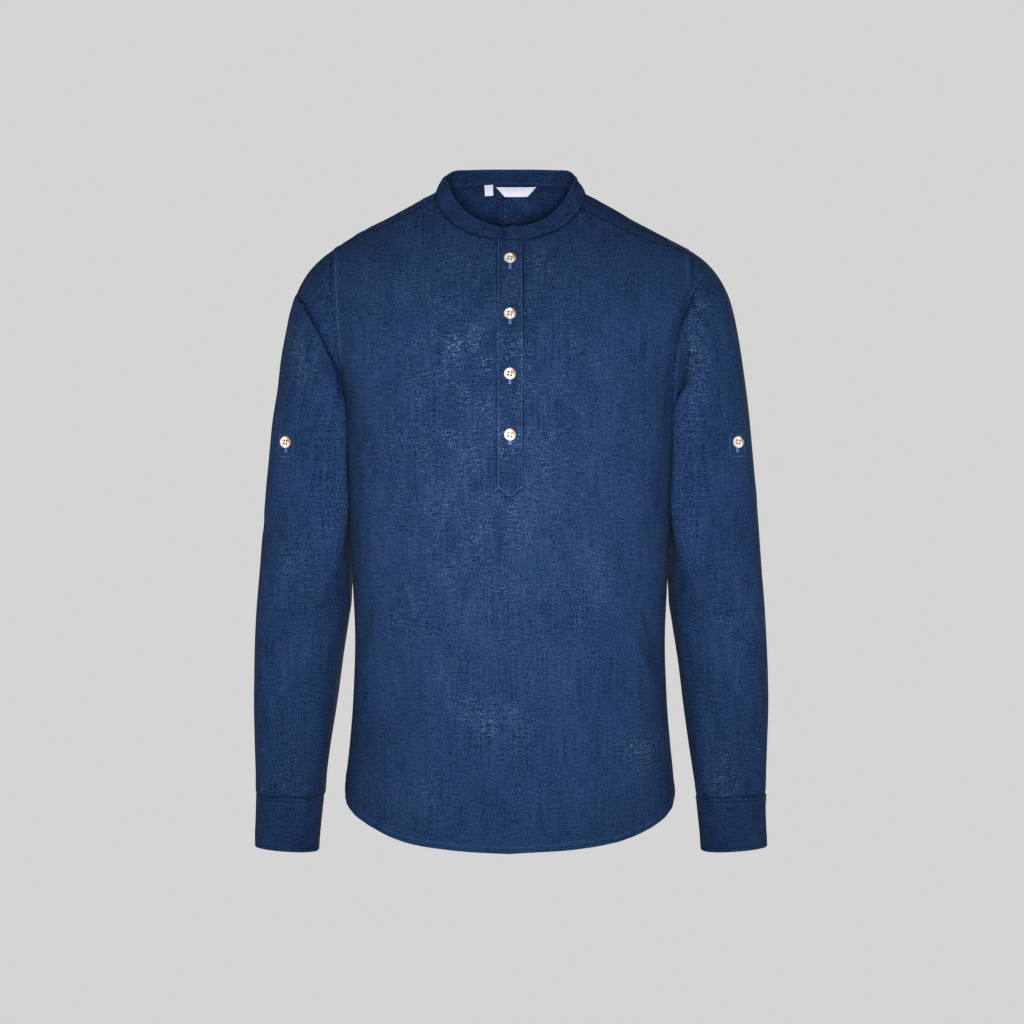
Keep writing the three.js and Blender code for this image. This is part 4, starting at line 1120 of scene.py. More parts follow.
def panel_side(side, armhole):
    """One side of the front or back: its armhole, and the side seam below it."""
    curves = EDGES[side]["curves"]
    edge = joined(spread(curves[armhole], ARMHOLE_SHARES), spread(curves["side"], SIDE_SHARES))
    return mirrored(edge) if side == "right" else edge


def panel_places(top, hem_curve, first, last):
    """Fills the front or back between its top, its sides and its hem."""
    hem = spread(hem_curve, lengthwise(top))
    first[:, 0], last[:, 0] = top[:, 0], top[:, -1]
    hem[:, 0], hem[:, -1] = first[:, -1], last[:, -1]
    return fill_flat(top, hem, first, last)


def front_places():
    left, right = EDGES["left"], EDGES["right"]

    def neck(q):
        angle, z = neck_place(mix(-math.pi - right["neck_turn"], left["neck_turn"], q))
        return angle % TURN, z

    right_seam = raised(mirrored(spread(right["curves"]["seam"], SEAM_SHARES)), YOKE_SEAM_GAP)[:, ::-1]
    left_seam = raised(spread(left["curves"]["seam"], SEAM_SHARES), YOKE_SEAM_GAP)
    top = joined(right_seam, spread(neck, NECK_SHARES), left_seam)
    return panel_places(top, front_hem, panel_side("right", "front"), panel_side("left", "front"))


def back_places():
    top = raised(spread(back_seam, BACK_SHARES), YOKE_SEAM_GAP)
    last = turned(panel_side("left", "back"), TURN)
    return panel_places(top, back_hem, panel_side("right", "back"), last)


YOKE_NECK_SHARE = 0.14


def yoke_places():
    left, right = EDGES["left"], EDGES["right"]
    middle = 1 - 2 * YOKE_NECK_SHARE
    shares = np.concatenate([
        YOKE_NECK_SHARE * OVER_SHARES,
        YOKE_NECK_SHARE + middle * BACK_SHARES[1:],
        1 - YOKE_NECK_SHARE * OVER_SHARES[::-1][1:],
    ])
    neck = np.array(neck_place(mix(math.pi - right["neck_turn"], left["neck_turn"], shares)))
    over_right = mirrored(spread(right["curves"]["over"], OVER_SHARES))
    over_left = turned(spread(left["curves"]["over"], OVER_SHARES), TURN)[:, ::-1]
    outer = joined(over_right, spread(back_seam, BACK_SHARES), over_left)
    first = mirrored(spread(right["curves"]["seam"], YOKE_SHARES))
    last = turned(spread(left["curves"]["seam"], YOKE_SHARES), TURN)
    neck[:, 0], neck[:, -1] = first[:, 0], last[:, 0]
    outer[:, 0], outer[:, -1] = first[:, -1], last[:, -1]
    return fill(neck, outer, first, last, lengthwise(neck), lengthwise(first))


# Sleeves and cuffs

def sleeve_grid(side):
    """Points and outward directions of a sleeve's cloth, worked out as if it were the left one."""
    curves = EDGES[side]["curves"]
    even = np.linspace(0, 1, 74)
    armhole = joined(
        spread(lambda q: curves["back"](1 - q), even),
        spread(lambda q: curves["over"](1 - q), np.linspace(0, 1, 34)),
        spread(curves["front"], even),
    )[:, :-1]
    body_angle = armhole[0] if side == "left" else math.pi - armhole[0]
    seam = flipped(side, body_point(body_angle, armhole[1], creased=True))
    seam_normals = flipped(side, body_normal(body_angle, armhole[1]))
    along = np.roll(seam, -1, axis=0) - np.roll(seam, 1, axis=0)
    onward = unit(np.cross(seam_normals, along))
    shoulder = np.argmax(seam[:, 2])
    onward *= np.sign(onward[shoulder, 0])
    top = np.array([outer_arm(ARMHOLE_TOP), ARMHOLE_TOP])
    bottom = np.array([inner_arm(ARMPIT), ARMPIT])
    centre, half = (top + bottom) / 2, (top - bottom) / 2
    across = ((seam[:, [0, 2]] - centre) @ half) / (half @ half)
    forward = (ring_centre_y(0) - seam[:, 1]) / ring_half_depth(0)
    angles = np.unwrap(np.arctan2(forward, across))
    angles -= TURN * np.round(np.mean(angles) / TURN)
    flat = 1 - under_lap(flipped(side, seam))
    rise = ROLL_PLAIN_RISE + ROLL_RISE * smooth(-110, ARMPIT, seam[:, 2]) * flat

    def by_seam(out, up):
        return seam + onward * out + seam_normals * (np.asarray(up) * np.ones(len(seam)))[:, None]

    rolled = by_seam(ROLL_REACH, rise)
    strays = rolled - sleeve_plain(0, angles)
    fine = np.linspace(0.05, SLEEVE_END + 0.05, 4000)
    steps = np.hypot(np.gradient(ring_outer_z(fine)), np.gradient(outer_arm(ring_outer_z(fine))))
    lengths = np.cumsum(steps + 0.25 * np.mean(steps))
    rows = np.interp(np.linspace(lengths[0], lengths[-1], 204), lengths, fine)
    row, angle = rows[:, None], angles[None, :]
    fade = (np.clip(1 - row / CAP_FADE, 0, 1) ** 2)[..., None]
    out = sleeve_out(sleeve_plain, row, angle)
    main = sleeve_point(side, row, angle, creased=True) + strays[None] * fade
    main = main + out * sleeve_end_relief(side, row, angle)[..., None]
    first = [by_seam(-1.3, -0.8), by_seam(0.4, -0.5), by_seam(1.3, 0.45 * rise), rolled]
    points = np.concatenate([np.array(first), main])
    outward = np.concatenate([np.repeat(seam_normals[None], 4, axis=0), out])
    every_row = np.concatenate([np.zeros(4), rows])
    return points, outward, every_row, angles


def sleeve_end_relief(side, row, angle):
    """Small gathers above the cuff, and the last few millimetres that go under it."""
    seed = 51 if side == "left" else 61
    degrees = np.degrees(angle)
    gathers = 1.3 * rumple(degrees / 9.5, row / 2.2, seed) + 0.5 * rumple(degrees / 4, row, seed + 1)
    return gathers * smooth(14.0, 14.85, row) * smooth(15.08, 14.98, row) - 1.5 * smooth(14.93, 15.02, row)


def sleeve(side, material):
    points, outward, rows, angles = sleeve_grid(side)
    normals = grid_normals(points, outward, tube=True)
    mean_radius = np.interp(rows, SLEEVE_RINGS[:, 0], (SLEEVE_RINGS[:, 3] + ARM_HALF_WIDTH) / 2)
    around = angles[None, :] * mean_radius[:, None] * 1.05
    down = points[..., 2] * 1.03
    cloth = np.stack([around, down], axis=-1)
    closing = np.stack([around[:, :1] + TURN * mean_radius[:, None] * 1.05, down[:, :1]], axis=-1)
    cloth = np.concatenate([cloth, closing], axis=1)
    distance = np.linalg.norm(points - points[1:2], axis=2)
    outer = flipped(side, points)
    facing = flipped(side, normals)
    by_armhole = (np.arange(len(rows)) < 12)[:, None] * (1 - under_lap(outer))
    worn = 0.7 * smooth(2.4, 0.6, distance) * by_armhole
    # Painted shade under the lap, along the armhole seam, on the last rows that go under the cuff, and
    # lightly all over
    painted_shade = np.maximum(lap_shade(outer), smooth(3.0, 1.2, distance) * by_armhole)
    painted_shade = np.maximum(painted_shade, smooth(14.9, 15.0, rows)[:, None])
    masks = {"sheer": sheer_patches(outer), "worn": worn, "painted_shade": painted_shade + SLEEVE_PAINTED_SHADE}
    name = f"sleeve_{side}_cloth"
    piece = shell(name, outer, facing, CLOTH, cloth, material, tube=True, masks=masks)
    return piece, outer + facing * CLOTH / 2, facing


def cuff_plain(row, angle):
    return ring_place(row, angle, CUFF_ROUNDNESS)


def cuff_place(row, turn):
    lapped = smooth(CUFF_RISE_FROM, TURN, turn) * CUFF_LAP
    angle = CUFF_LAP_START + turn
    normal = sleeve_out(cuff_plain, row, angle)
    return cuff_plain(row, angle) + normal * lapped[..., None], normal


def cuff(side, material):
    rows = SLEEVE_END - CUFF_TUCK + (1 + CUFF_TUCK) * crowded(20, CUFF_HEIGHT)
    turns = TURN * CUFF_TURNS * crowded(96, CUFF_LENGTH)
    row, turn = np.meshgrid(rows, turns, indexing="ij")
    points, outward = cuff_place(row, turn)
    down = (row - rows[0]) * CUFF_HEIGHT / (1 + CUFF_TUCK)
    around = turn * CUFF_LENGTH / (TURN * CUFF_TURNS)
    full = around[0, -1]
    to_edge = np.minimum(np.minimum(down, CUFF_HEIGHT - down), np.minimum(around, full - around))
    seed = 71 if side == "left" else 81
    grooves = sum(bell(down, place, 0.9) for place in (1.6, 6.8, CUFF_HEIGHT - 3.2))
    wave = 0.55 * rumple(around / 7.5, down / 9, seed) * smooth(15, 4, down)
    wave = wave + 0.4 * rumple(around / 9, down / 12, seed + 1) * smooth(14, 3, CUFF_HEIGHT - down)
    wave = wave + 0.35 * rumple(around / 26, down / 22, seed + 2)
    relief = wave - 0.28 * grooves
    points = points + outward * relief[..., None]
    outer, facing = flipped(side, points), grid_normals(flipped(side, points), flipped(side, outward))
    thickness = strip_thickness(to_edge, DOUBLE_CLOTH, 1.3)
    worn = 0.5 * smooth(1.5, 0.2, to_edge) + 0.25 * bell(down, 7.6, 0.8)
    cloth = np.stack([around + 700, -down - 40], axis=-1)
    # Painted shade in the grooves of the stitches
    masks = {"sheer": 0 * worn, "worn": worn, "painted_shade": 0.6 * grooves}
    piece = shell(f"cuff_{side}_cloth", outer, facing, thickness, cloth, material, masks=masks)
    return piece, outer + facing * thickness[..., None] / 2, facing


# Collar band

def band_foot(turn):
    return body_point(*neck_place(turn))


def band_place(turn, height):
    along = unit(band_foot(turn + 0.01) - band_foot(turn - 0.01))
    inward = unit(stack(-along[..., 1], along[..., 0], 0))
    frontness = np.sin(turn)
    end_lean = np.where(frontness < 0, BAND_FRONT_LEAN, BAND_BACK_LEAN)
    lean = mix(BAND_SIDE_LEAN, end_lean, frontness**2)
    up = inward * np.sin(lean)[..., None]
    up[..., 2] = np.cos(lean)
    upright = unit(up - along * np.sum(up * along, axis=-1, keepdims=True))
    point = band_foot(turn) + upright * (BAND_LIFT + height)[..., None]
    return point, unit(np.cross(along, upright))


# Creases of the band, in millimetres round from the wearer's left side and up from its foot
BAND_CREASES = [
    (98, 2, 103, 18, 1, 2.6, 0.9), (108, 3, 116, 17, -1, 2.4, -0.8), (121, 2, 124, 16, 1, 2.8, 0.8),
    (150, 4, 160, 15, 1, 3.0, -0.7), (170, 3, 166, 16, -1, 2.6, 0.8),
    (178, 3, 188, 18, 1, 2.4, 1.2), (-128, 2, -120, 18, 1, 2.4, 1.1),
    (-117, 3, -108, 17, -1, 2.6, -1.0), (-100, 2, -96, 16, 1, 2.8, 0.9),
    (360, 3, 366, 16, 1, 2.6, 1.0), (345, 2, 352, 17, -1, 2.8, -0.8),
    (190, 2, 196, 15, 1, 2.6, -0.9), (204, 3, 201, 17, 0, 2.4, 0.8), (30, 3, 40, 17, 1, 3.2, 0.6),
    (62, 2, 56, 16, 1, 3.0, -0.6), (230, 3, 238, 16, 1, 3.0, 0.6), (-30, 4, -22, 14, 1, 3.2, 0.5),
    (-62, 4, -74, 15, -1, 3.4, 0.5), (-176, 4, -186, 15, 1, 3.4, 0.5),
]


def collar_band(material):
    meet = math.acos(BAND_MEET_X / NECK_HALF_WIDTH)
    half_gap = BAND_END_GAP / 2 / NECK_HALF_WIDTH
    start, end = -meet + half_gap, TURN - meet - half_gap
    turns = mix(start - BAND_UNDERLAP / NECK_HALF_WIDTH, end, crowded(196, 529))
    shares = crowded(12, 22)
    turn, share = np.meshgrid(turns, shares, indexing="xy")
    to_end = (end - turn) * NECK_HALF_WIDTH
    into = np.clip(BAND_CORNER - to_end, 0, BAND_CORNER)
    top = BAND_HEIGHT - BAND_CORNER + np.sqrt(BAND_CORNER**2 - into**2)
    height = mix(-BAND_TUCK, top, share)
    points, outward = band_place(turn, height)
    from_back = turn - math.pi / 2

    # Behind, the band's two corners stand up and its middle dips, and the left corner leans out
    corners = bell(np.abs(from_back), 0.98, 0.24)
    points[..., 2] += share**1.5 * (1.3 * corners - 1.7 * bell(from_back, 0, 0.45))
    points[..., 0] += 3.6 * share * bell(from_back, 0.96, 0.4)

    # Uneven cloth, creases and the grooves of the stitches. The end laps over the tongue.
    around = turn * NECK_HALF_WIDTH
    relief = 0.65 * rumple(around / 14, height / 8, 91) + 0.45 * rumple(around / 6, height / 7, 92)
    for s0, h0, s1, h1, bend, width, high in BAND_CREASES:
        crease = line_height(around, height, (s0, h0), (s1, h1), bend, width, high, True)
        relief = relief + BAND_CREASE_STRENGTH * crease
    relief = relief * smooth(-BAND_TUCK, 1, height) * smooth(0, 3, top - height)
    relief = relief - 0.25 * bell(height, 0.4, 0.9) - 0.25 * bell(top - height, 2.2, 0.9)
    before_end = (turn - start) * NECK_HALF_WIDTH
    relief = relief + 0.35 + 1.1 * smooth(16, 3, to_end) - 2.3 * smooth(5, -1.4, before_end)
    points = points + outward * relief[..., None]
    to_rim = np.minimum(top - height, height + BAND_TUCK)
    to_edge = np.minimum(to_rim, np.minimum(to_end, before_end + BAND_UNDERLAP))
    thickness = strip_thickness(to_edge, DOUBLE_CLOTH, 1.2)
    normals = grid_normals(points, outward)

    # Rubbed edges, and the shade along the seam, the stitches and the lapped end
    in_front = mix(0.25, 1, smooth(0.5, -0.2, np.sin(turn)))
    worn = 0.75 * smooth(1.4, 0.2, to_edge) * smooth(2, 6, height)
    painted_shade = 0.9 * smooth(2.6, 0.6, height) + 0.7 * bell(top - height, 2.4, 0.8)
    painted_shade = np.maximum(painted_shade * in_front, smooth(4.5, 0.8, before_end))
    painted_shade = np.maximum(painted_shade, 0.8 * bell(to_end, 2.6, 0.8))
    cloth = np.stack([around * 1.04 + 900, height], axis=-1)
    masks = {"sheer": 0 * worn, "worn": worn, "painted_shade": painted_shade}
    piece = shell("collar_band_cloth", points, normals, thickness, cloth, material, masks=masks)
    half = normals * thickness[..., None] / 2
    return piece, points + half, points - half, normals


# Front placket

def front_neck_z(x):
    return -NECK_FRONT_DROP * np.sqrt(1 - (x / NECK_HALF_WIDTH) ** 2)


def placket_end(x):
    share = np.clip((np.abs(x) - PLACKET_TIP_HALF) / (PLACKET_HALF - PLACKET_TIP_HALF), 0, 1)
    return mix(PLACKET_TIP_Z, PLACKET_CORNER_Z, share)


def placket_over(material):
    acrosses = PLACKET_HALF * (2 * crowded(14, 2 * PLACKET_HALF) - 1)
    shares = crowded(110, 275)
    x, share = np.meshgrid(acrosses, shares, indexing="xy")
    z = mix(front_neck_z(x) - 0.4, placket_end(x), share)
    points = body_point(front_angle(x, z), z, creased=True)
    outward = body_normal(front_angle(x, z), z)
    to_side = PLACKET_HALF - np.abs(x)
    to_end = 0.8 * (z - placket_end(x))
    to_edge = np.minimum(to_side, to_end)
    thickness = strip_thickness(np.minimum(to_edge, 3), DOUBLE_CLOTH, 1.2)
    grooves = bell(to_edge, 1.9, 0.7) + 0.8 * bell(z, PLACKET_CLOSED_Z, 0.8) * smooth(4, 1, x)
    wave = 0.45 * rumple(z / 8 + 3, x / 9, 101) + 0.3 * rumple(z / 4.2, x / 6, 102)
    wave = wave * smooth(0, 2.5, to_edge) + 0.3 * rumple(z / 23, x / 30, 103)
    relief = CLOTH / 2 + 0.05 + thickness / 2 + np.maximum(wave, -0.25) + 0.25 - 0.28 * grooves
    points = points + outward * relief[..., None]
    normals = grid_normals(points, outward)
    worn = 0.7 * smooth(1.2, 0.1, to_edge)
    cloth = np.stack([x + 1200, z], axis=-1)
    thin = 0.35 + 0.35 * rumple(z / 40, x / 30, 104)
    # Painted shade in the grooves of the stitches
    masks = {"sheer": thin, "worn": worn, "painted_shade": 0.55 * grooves}
    piece = shell("placket_over_cloth", points, normals, thickness, cloth, material, masks=masks)
    return piece, points + normals * thickness[..., None] / 2, normals, x, z


def placket_under(material):
    half = SLIT_HALF + 0.4
    x, share = np.meshgrid(np.linspace(-half, half, 10), np.linspace(0, 1, 90), indexing="xy")
    z = mix(front_neck_z(x) - 0.4, SLIT_END - 1.5, share)
    angle = front_angle(x, z)
    outward = body_normal(angle, z)
    points = body_point(angle, z, creased=True) - outward * 0.85
    cloth = np.stack([x + 1300, z], axis=-1)
    masks = {"sheer": 0 * x, "worn": 0 * x, "painted_shade": 0 * x}
    return shell("placket_under_cloth", points, outward, CLOTH, cloth, material, masks=masks)


# The pointed strip above each cuff

def sleeve_placket(side, material):
    acrosses = crowded(12, SLEEVE_PLACKET_WIDTH) - 0.5
    shares = crowded(56, SLEEVE_PLACKET_LENGTH)
    across, share = np.meshgrid(acrosses, shares, indexing="xy")
    tip = mix(SLEEVE_PLACKET_TIP_ROW, SLEEVE_PLACKET_SHOULDER_ROW, np.abs(2 * across))
    row = mix(tip, SLEEVE_END + 0.02, share)
    perimeter = TURN * np.sqrt(ring_half_depth(row) * ARM_HALF_WIDTH)
    angle = SLEEVE_PLACKET_ANGLE + TURN * across * SLEEVE_PLACKET_WIDTH / perimeter
    points = sleeve_point(side, row, angle, creased=True)
    outward = sleeve_out(sleeve_plain, row, angle)
    points = points + outward * sleeve_end_relief(side, row, angle)[..., None]
    to_edge = np.minimum(SLEEVE_PLACKET_WIDTH * (0.5 - np.abs(across)), (row - tip) * 50)
    thickness = strip_thickness(to_edge, STRIP_CLOTH, 1.0)
    grooves = bell(to_edge, 1.8, 0.7)
    wave = 0.25 * rumple(share * 18, across * 2, 111)
    relief = CLOTH / 2 + 0.1 + thickness / 2 + wave - 0.25 * grooves
    points = points + outward * relief[..., None]
    outer = flipped(side, points)
    facing = grid_normals(outer, flipped(side, outward))
    worn = 0.9 * smooth(1.2, 0.1, to_edge)
    cloth = np.stack([across * SLEEVE_PLACKET_WIDTH + 1400, -share * SLEEVE_PLACKET_LENGTH], axis=-1)
    # Painted shade in the grooves of the stitches
    masks = {"sheer": 0 * worn, "worn": worn, "painted_shade": 0.6 * grooves}
    piece = shell(f"sleeve_placket_{side}_cloth", outer, facing, thickness, cloth, material, masks=masks)
    return piece, outer + facing * thickness[..., None] / 2, facing


# Labels inside the back of the neck

def label(name, sizes, lean, material):
    across, down = np.meshgrid(np.linspace(0, 1, 24), np.linspace(0, 1, 16), indexing="xy")
    sides = [mix(top_x, end_x, down) for top_x, end_x in zip(sizes["top_x"], sizes["end_x"])]
    x = mix(*sides, across)
    z = mix(sizes["top"], sizes["end"], down) + lean * (across - 0.5)
    angle = -front_angle(x, np.minimum(z, 16))
    outward = body_normal(angle, z)
    curl = 0.5 * np.sin(math.pi * across) * down + 0.25 * rumple(across * 3, down * 2, 121)
    inside = CLOTH / 2 + 0.8 + LABEL_HANG * down**1.3 + curl
    points = body_point(angle, z) - outward * inside[..., None]
    normals = grid_normals(points, outward)
    cloth = np.stack([x, z], axis=-1)
    return shell(name, points, normals, LABEL_CLOTH, cloth, material)


# Buttons with four holes and a raised rim

def button(name, point, normal, material):
    # Rings from the middle of the face to the rim, then down the side and under
    outer_rings = [3.9, 4.3, 4.7, 5.1, 5.5, 5.85, 6.12, 6.3, BUTTON_RADIUS]
    rings = np.concatenate([np.linspace(0, 3.6, 25)[1:], outer_rings])
    turns = TURN * np.arange(72) / 72
    r, turn = np.meshgrid(rings, turns, indexing="ij")
    x, y = r * np.cos(turn), r * np.sin(turn)
    hole = np.hypot(np.abs(x) - HOLE_OUT, np.abs(y) - HOLE_OUT)
    rim = 0.62 * smooth(3.9, 4.9, r) - 0.5 * smooth(5.4, BUTTON_RADIUS, r) ** 2
    top = BUTTON_FACE + rim - 1.5 * smooth(1.1, 0.8, hole)
    waist = np.array([(BUTTON_RADIUS, 1.35), (BUTTON_RADIUS, 0.9), (5.9, 0.25), (5.0, 0.0), (2.5, 0.0)])
    vertices = [(0, 0, BUTTON_FACE)]
    for k in range(len(rings)):
        vertices.extend(zip(x[k], y[k], top[k]))
    for radius, height in waist:
        vertices.extend((radius * math.cos(t), radius * math.sin(t), height) for t in turns)
    vertices.append((0, 0, 0))
    count = len(turns)
    around = np.arange(count)
    after = (around + 1) % count
    faces = [(0, 1 + a, 1 + b) for a, b in zip(around, after)]
    for k in range(len(rings) + len(waist) - 1):
        low, high = 1 + k * count, 1 + (k + 1) * count
        faces.extend((low + a, high + a, high + b, low + b) for a, b in zip(around, after))
    final = 1 + (len(rings) + len(waist) - 1) * count
    faces.extend((final + b, final + a, len(vertices) - 1) for a, b in zip(around, after))
    local = np.array(vertices)
    level = unit(np.array([1.0, 0, 0]) - normal * normal[0])
    across = level * math.cos(BUTTON_TURN) + np.cross(normal, level) * math.sin(BUTTON_TURN)
    upward = np.cross(normal, across)
    placed = point + local[:, :1] * across + local[:, 1:2] * upward + local[:, 2:] * normal
    piece = mesh_object(name, placed, faces, material)
    place = piece.data.attributes.new("button_place", "FLOAT_VECTOR", "POINT")
    place.data.foreach_set("vector", local.astype(np.float32).ravel())
    return piece, across, upward


# Node helpers

class Tree:
    """Adds nodes to a material or a shader group and links them."""

    def __init__(self, tree):
        self.tree = tree

    def node(self, kind, **settings):
        added = self.tree.nodes.new(kind)
        for name, value in settings.items():
            setattr(added, name, value)
        return added

    def put(self, socket, value):
        if isinstance(value, bpy.types.NodeSocket):
            self.tree.links.new(value, socket)
        elif value is not None:
            socket.default_value = value

    def math(self, operation, a, b=None, clamp=False):
        added = self.node("ShaderNodeMath", operation=operation, use_clamp=clamp)
        self.put(added.inputs[0], a)
        self.put(added.inputs[1], b)
        return added.outputs[0]

    def times(self, value, amount, clamp=False):
        return self.math("MULTIPLY", value, amount, clamp)

    def total(self, first, *others):
        for value in others:
            first = self.math("ADD", first, value)
        return first

    def swing(self, value, amount):
        """How far a value is from its middle, times an amount."""
        return self.times(self.math("SUBTRACT", value, 0.5), amount)

    def length(self, x, y):
        squares = self.math("ADD", self.math("POWER", x, 2.0), self.math("POWER", y, 2.0))
        return self.math("SQRT", squares)

    def vector_math(self, operation, vector, amount):
        added = self.node("ShaderNodeVectorMath", operation=operation)
        self.put(added.inputs[0], vector)
        self.put(added.inputs[1], amount)
        return added.outputs[0]

    def scaled(self, vector, scale):
        return self.vector_math("MULTIPLY", vector, scale)

    def moved(self, vector, offset):
        return self.vector_math("ADD", vector, offset)

    def noise(self, vector, scale, detail=2.0, roughness=0.5, distortion=0.0):
        added = self.node("ShaderNodeTexNoise")
        self.put(added.inputs["Vector"], vector)
        self.put(added.inputs["Scale"], scale)
        self.put(added.inputs["Detail"], detail)
        self.put(added.inputs["Roughness"], roughness)
        self.put(added.inputs["Distortion"], distortion)
        return added.outputs["Fac"]

    def streaks(self, place, across, along, detail, roughness=0.5, distortion=0.0, shift=(0, 0, 0)):
        """Noise over a place in millimetres, with about this many bumps a millimetre each way."""
        vector = self.moved(self.scaled(place, (across, along, 1)), shift)
        return self.noise(vector, 1.0, detail, roughness, distortion)

    def between(self, value, low, high, out_low=0.0, out_high=1.0):
        added = self.node("ShaderNodeMapRange", interpolation_type="SMOOTHSTEP")
        for socket, number in zip(added.inputs[:5], (value, low, high, out_low, out_high)):
            self.put(socket, number)
        return added.outputs[0]

    def blend(self, share, a, b):
        added = self.node("ShaderNodeMix", data_type="RGBA")
        self.put(added.inputs[0], share)
        self.put(added.inputs[6], a)
        self.put(added.inputs[7], b)
        return added.outputs[2]

    def group(self, group, **values):
        added = self.node("ShaderNodeGroup", node_tree=group)
        for name, value in values.items():
            self.put(added.inputs[name.replace("_", " ")], value)
        return added


def new_group(name, inputs, outputs):
    """A shader node group with named sockets."""
    group = bpy.data.node_groups.new(name, "ShaderNodeTree")
    for label, kind, default in inputs:
        socket = group.interface.new_socket(label, in_out="INPUT", socket_type="NodeSocket" + kind)
        if default is not None:
            socket.default_value = default
    for label, kind in outputs:
        group.interface.new_socket(label, in_out="OUTPUT", socket_type="NodeSocket" + kind)
    tree = Tree(group)
    return group, tree, tree.node("NodeGroupInput").outputs, tree.node("NodeGroupOutput").inputs


def slub_linen_group():
    """Plain-weave slubby linen, with painted shade and painted light through its thin places. Place is in
    millimetres, across and along the warp.
    """
    group, tree, given, out = new_group(
        "Slub linen",
        [
            ("Place", "Vector", None),
            ("Dark thread", "Color", (0.004, 0.012, 0.042, 1)),
            ("Light thread", "Color", (0.05, 0.1, 0.23, 1)),
            ("Light through", "Color", (0.30, 0.40, 0.60, 1)),
            ("Thin", "Float", 0.0),
            ("Worn", "Float", 0.0),
            ("Painted shade", "Float", 0.0),
            ("Contrast", "Float", 1.25),
        ],
        [("Color", "Color"), ("Height", "Float"), ("Roughness", "Float")],
    )
    place = given["Place"]

    # The weft sways a little, and the threads swell and thin along their length
    sway = tree.times(tree.streaks(place, 0.035, 0.03, 1.0), 9.0)
    shift = tree.node("ShaderNodeCombineXYZ")
    tree.put(shift.inputs["Y"], sway)
    waved = tree.moved(place, shift.outputs[0])
    warp_lines = tree.streaks(place, 0.8, 0.014, 3.0, 0.7)
    weft_lines = tree.streaks(waved, 0.07, 0.62, 3.0, 0.7)
    knots = tree.streaks(waved, 0.5, 0.85, 2.0, 0.6)
    grain = tree.streaks(place, 1.1, 1.1, 1.0)
    mottle = tree.streaks(place, 0.024, 0.016, 2.0)
    dash = tree.between(tree.streaks(waved, 0.24, 0.75, 1.0, shift=(7, 3, 1)), 0.58, 0.7)

    # Tone, from dark thread to light
    tone = tree.total(
        tree.swing(warp_lines, 0.9),
        tree.swing(weft_lines, 1.15),
        tree.swing(knots, 1.6),
        tree.swing(grain, 1.5),
        tree.times(dash, -0.22),
    )
    tone = tree.times(tone, tree.math("ADD", given["Contrast"], given["Thin"]))
    # Paler where worn, and darker where shade is painted on
    tone = tree.total(
        tone,
        tree.swing(mottle, 0.45),
        tree.times(given["Worn"], 0.4),
        tree.times(given["Painted shade"], -0.42),
    )
    tone = tree.math("ADD", tone, 0.45, clamp=True)
    color = tree.blend(tone, given["Dark thread"], given["Light thread"])

    # Rows of pale dots where light comes through the thin places
    dot = tree.between(tree.streaks(waved, 0.75, 0.85, 1.0), 0.54, 0.68)
    rows = tree.between(tree.streaks(waved, 0.12, 0.4, 1.0), 0.44, 0.58)
    patch = tree.between(tree.streaks(place, 0.035, 0.03, 2.0), 0.36, 0.6)
    shown = tree.times(patch, given["Thin"])
    thin = tree.times(tree.times(dot, rows), shown)
    thin = tree.times(thin, 0.8, clamp=True)
    # The pale dots are painted light, where light would come through the cloth
    color = tree.blend(thin, color, given["Light through"])

    # Height of the weave
    weave = tree.node("ShaderNodeTexWave", wave_type="BANDS", bands_direction="X", wave_profile="SIN")
    tree.put(weave.inputs["Vector"], place)
    tree.put(weave.inputs["Scale"], 0.62)
    tree.put(weave.inputs["Distortion"], 1.0)
    ribs = weave.outputs["Fac"]
    threads = (warp_lines, 0.45), (weft_lines, 0.5), (knots, 0.5), (grain, 0.3), (ribs, 0.06)
    height = tree.total(*[tree.times(value, share) for value, share in threads])
    roughness = tree.between(warp_lines, 0.2, 0.8, 0.98, 0.86)
    tree.put(out["Color"], color)
    tree.put(out["Height"], height)
    tree.put(out["Roughness"], roughness)
    return group


def crumple_group():
    """Small soft creases that linen keeps after it is worn. Place is in millimetres."""
    group, tree, given, out = new_group("Crumple", [("Place", "Vector", None)], [("Height", "Float")])
    place = given["Place"]
    soft = tree.streaks(place, 0.03, 0.02, 3.0, distortion=0.7)
    fine = tree.streaks(place, 0.11, 0.06, 2.0, distortion=0.9, shift=(5, 9, 2))
    ridge = tree.math("ABSOLUTE", tree.math("SUBTRACT", fine, 0.5))
    tree.put(out["Height"], tree.math("SUBTRACT", soft, tree.times(ridge, 0.7)))
    return group


def new_material(name):
    material = bpy.data.materials.new(name)
    material.use_nodes = True
    material.node_tree.nodes.clear()
    tree = Tree(material.node_tree)
    shader = tree.node("ShaderNodeBsdfPrincipled")
    output = tree.node("ShaderNodeOutputMaterial")
    tree.put(output.inputs["Surface"], shader.outputs["BSDF"])
    return material, tree, shader.inputs


def bump(tree, height, distance, strength, below=None):
    added = tree.node("ShaderNodeBump")
    tree.put(added.inputs["Strength"], strength)
    tree.put(added.inputs["Distance"], distance)
    tree.put(added.inputs["Height"], height)
    tree.put(added.inputs["Normal"], below)
    return added.outputs["Normal"]


def cloth_place(tree):
    uv = tree.node("ShaderNodeUVMap", uv_map="cloth")
    return tree.scaled(uv.outputs["UV"], (1000, 1000, 0))


def mask(tree, name):
    return tree.node("ShaderNodeAttribute", attribute_name=name).outputs["Fac"]


LINEN = slub_linen_group()
CRUMPLE = crumple_group()


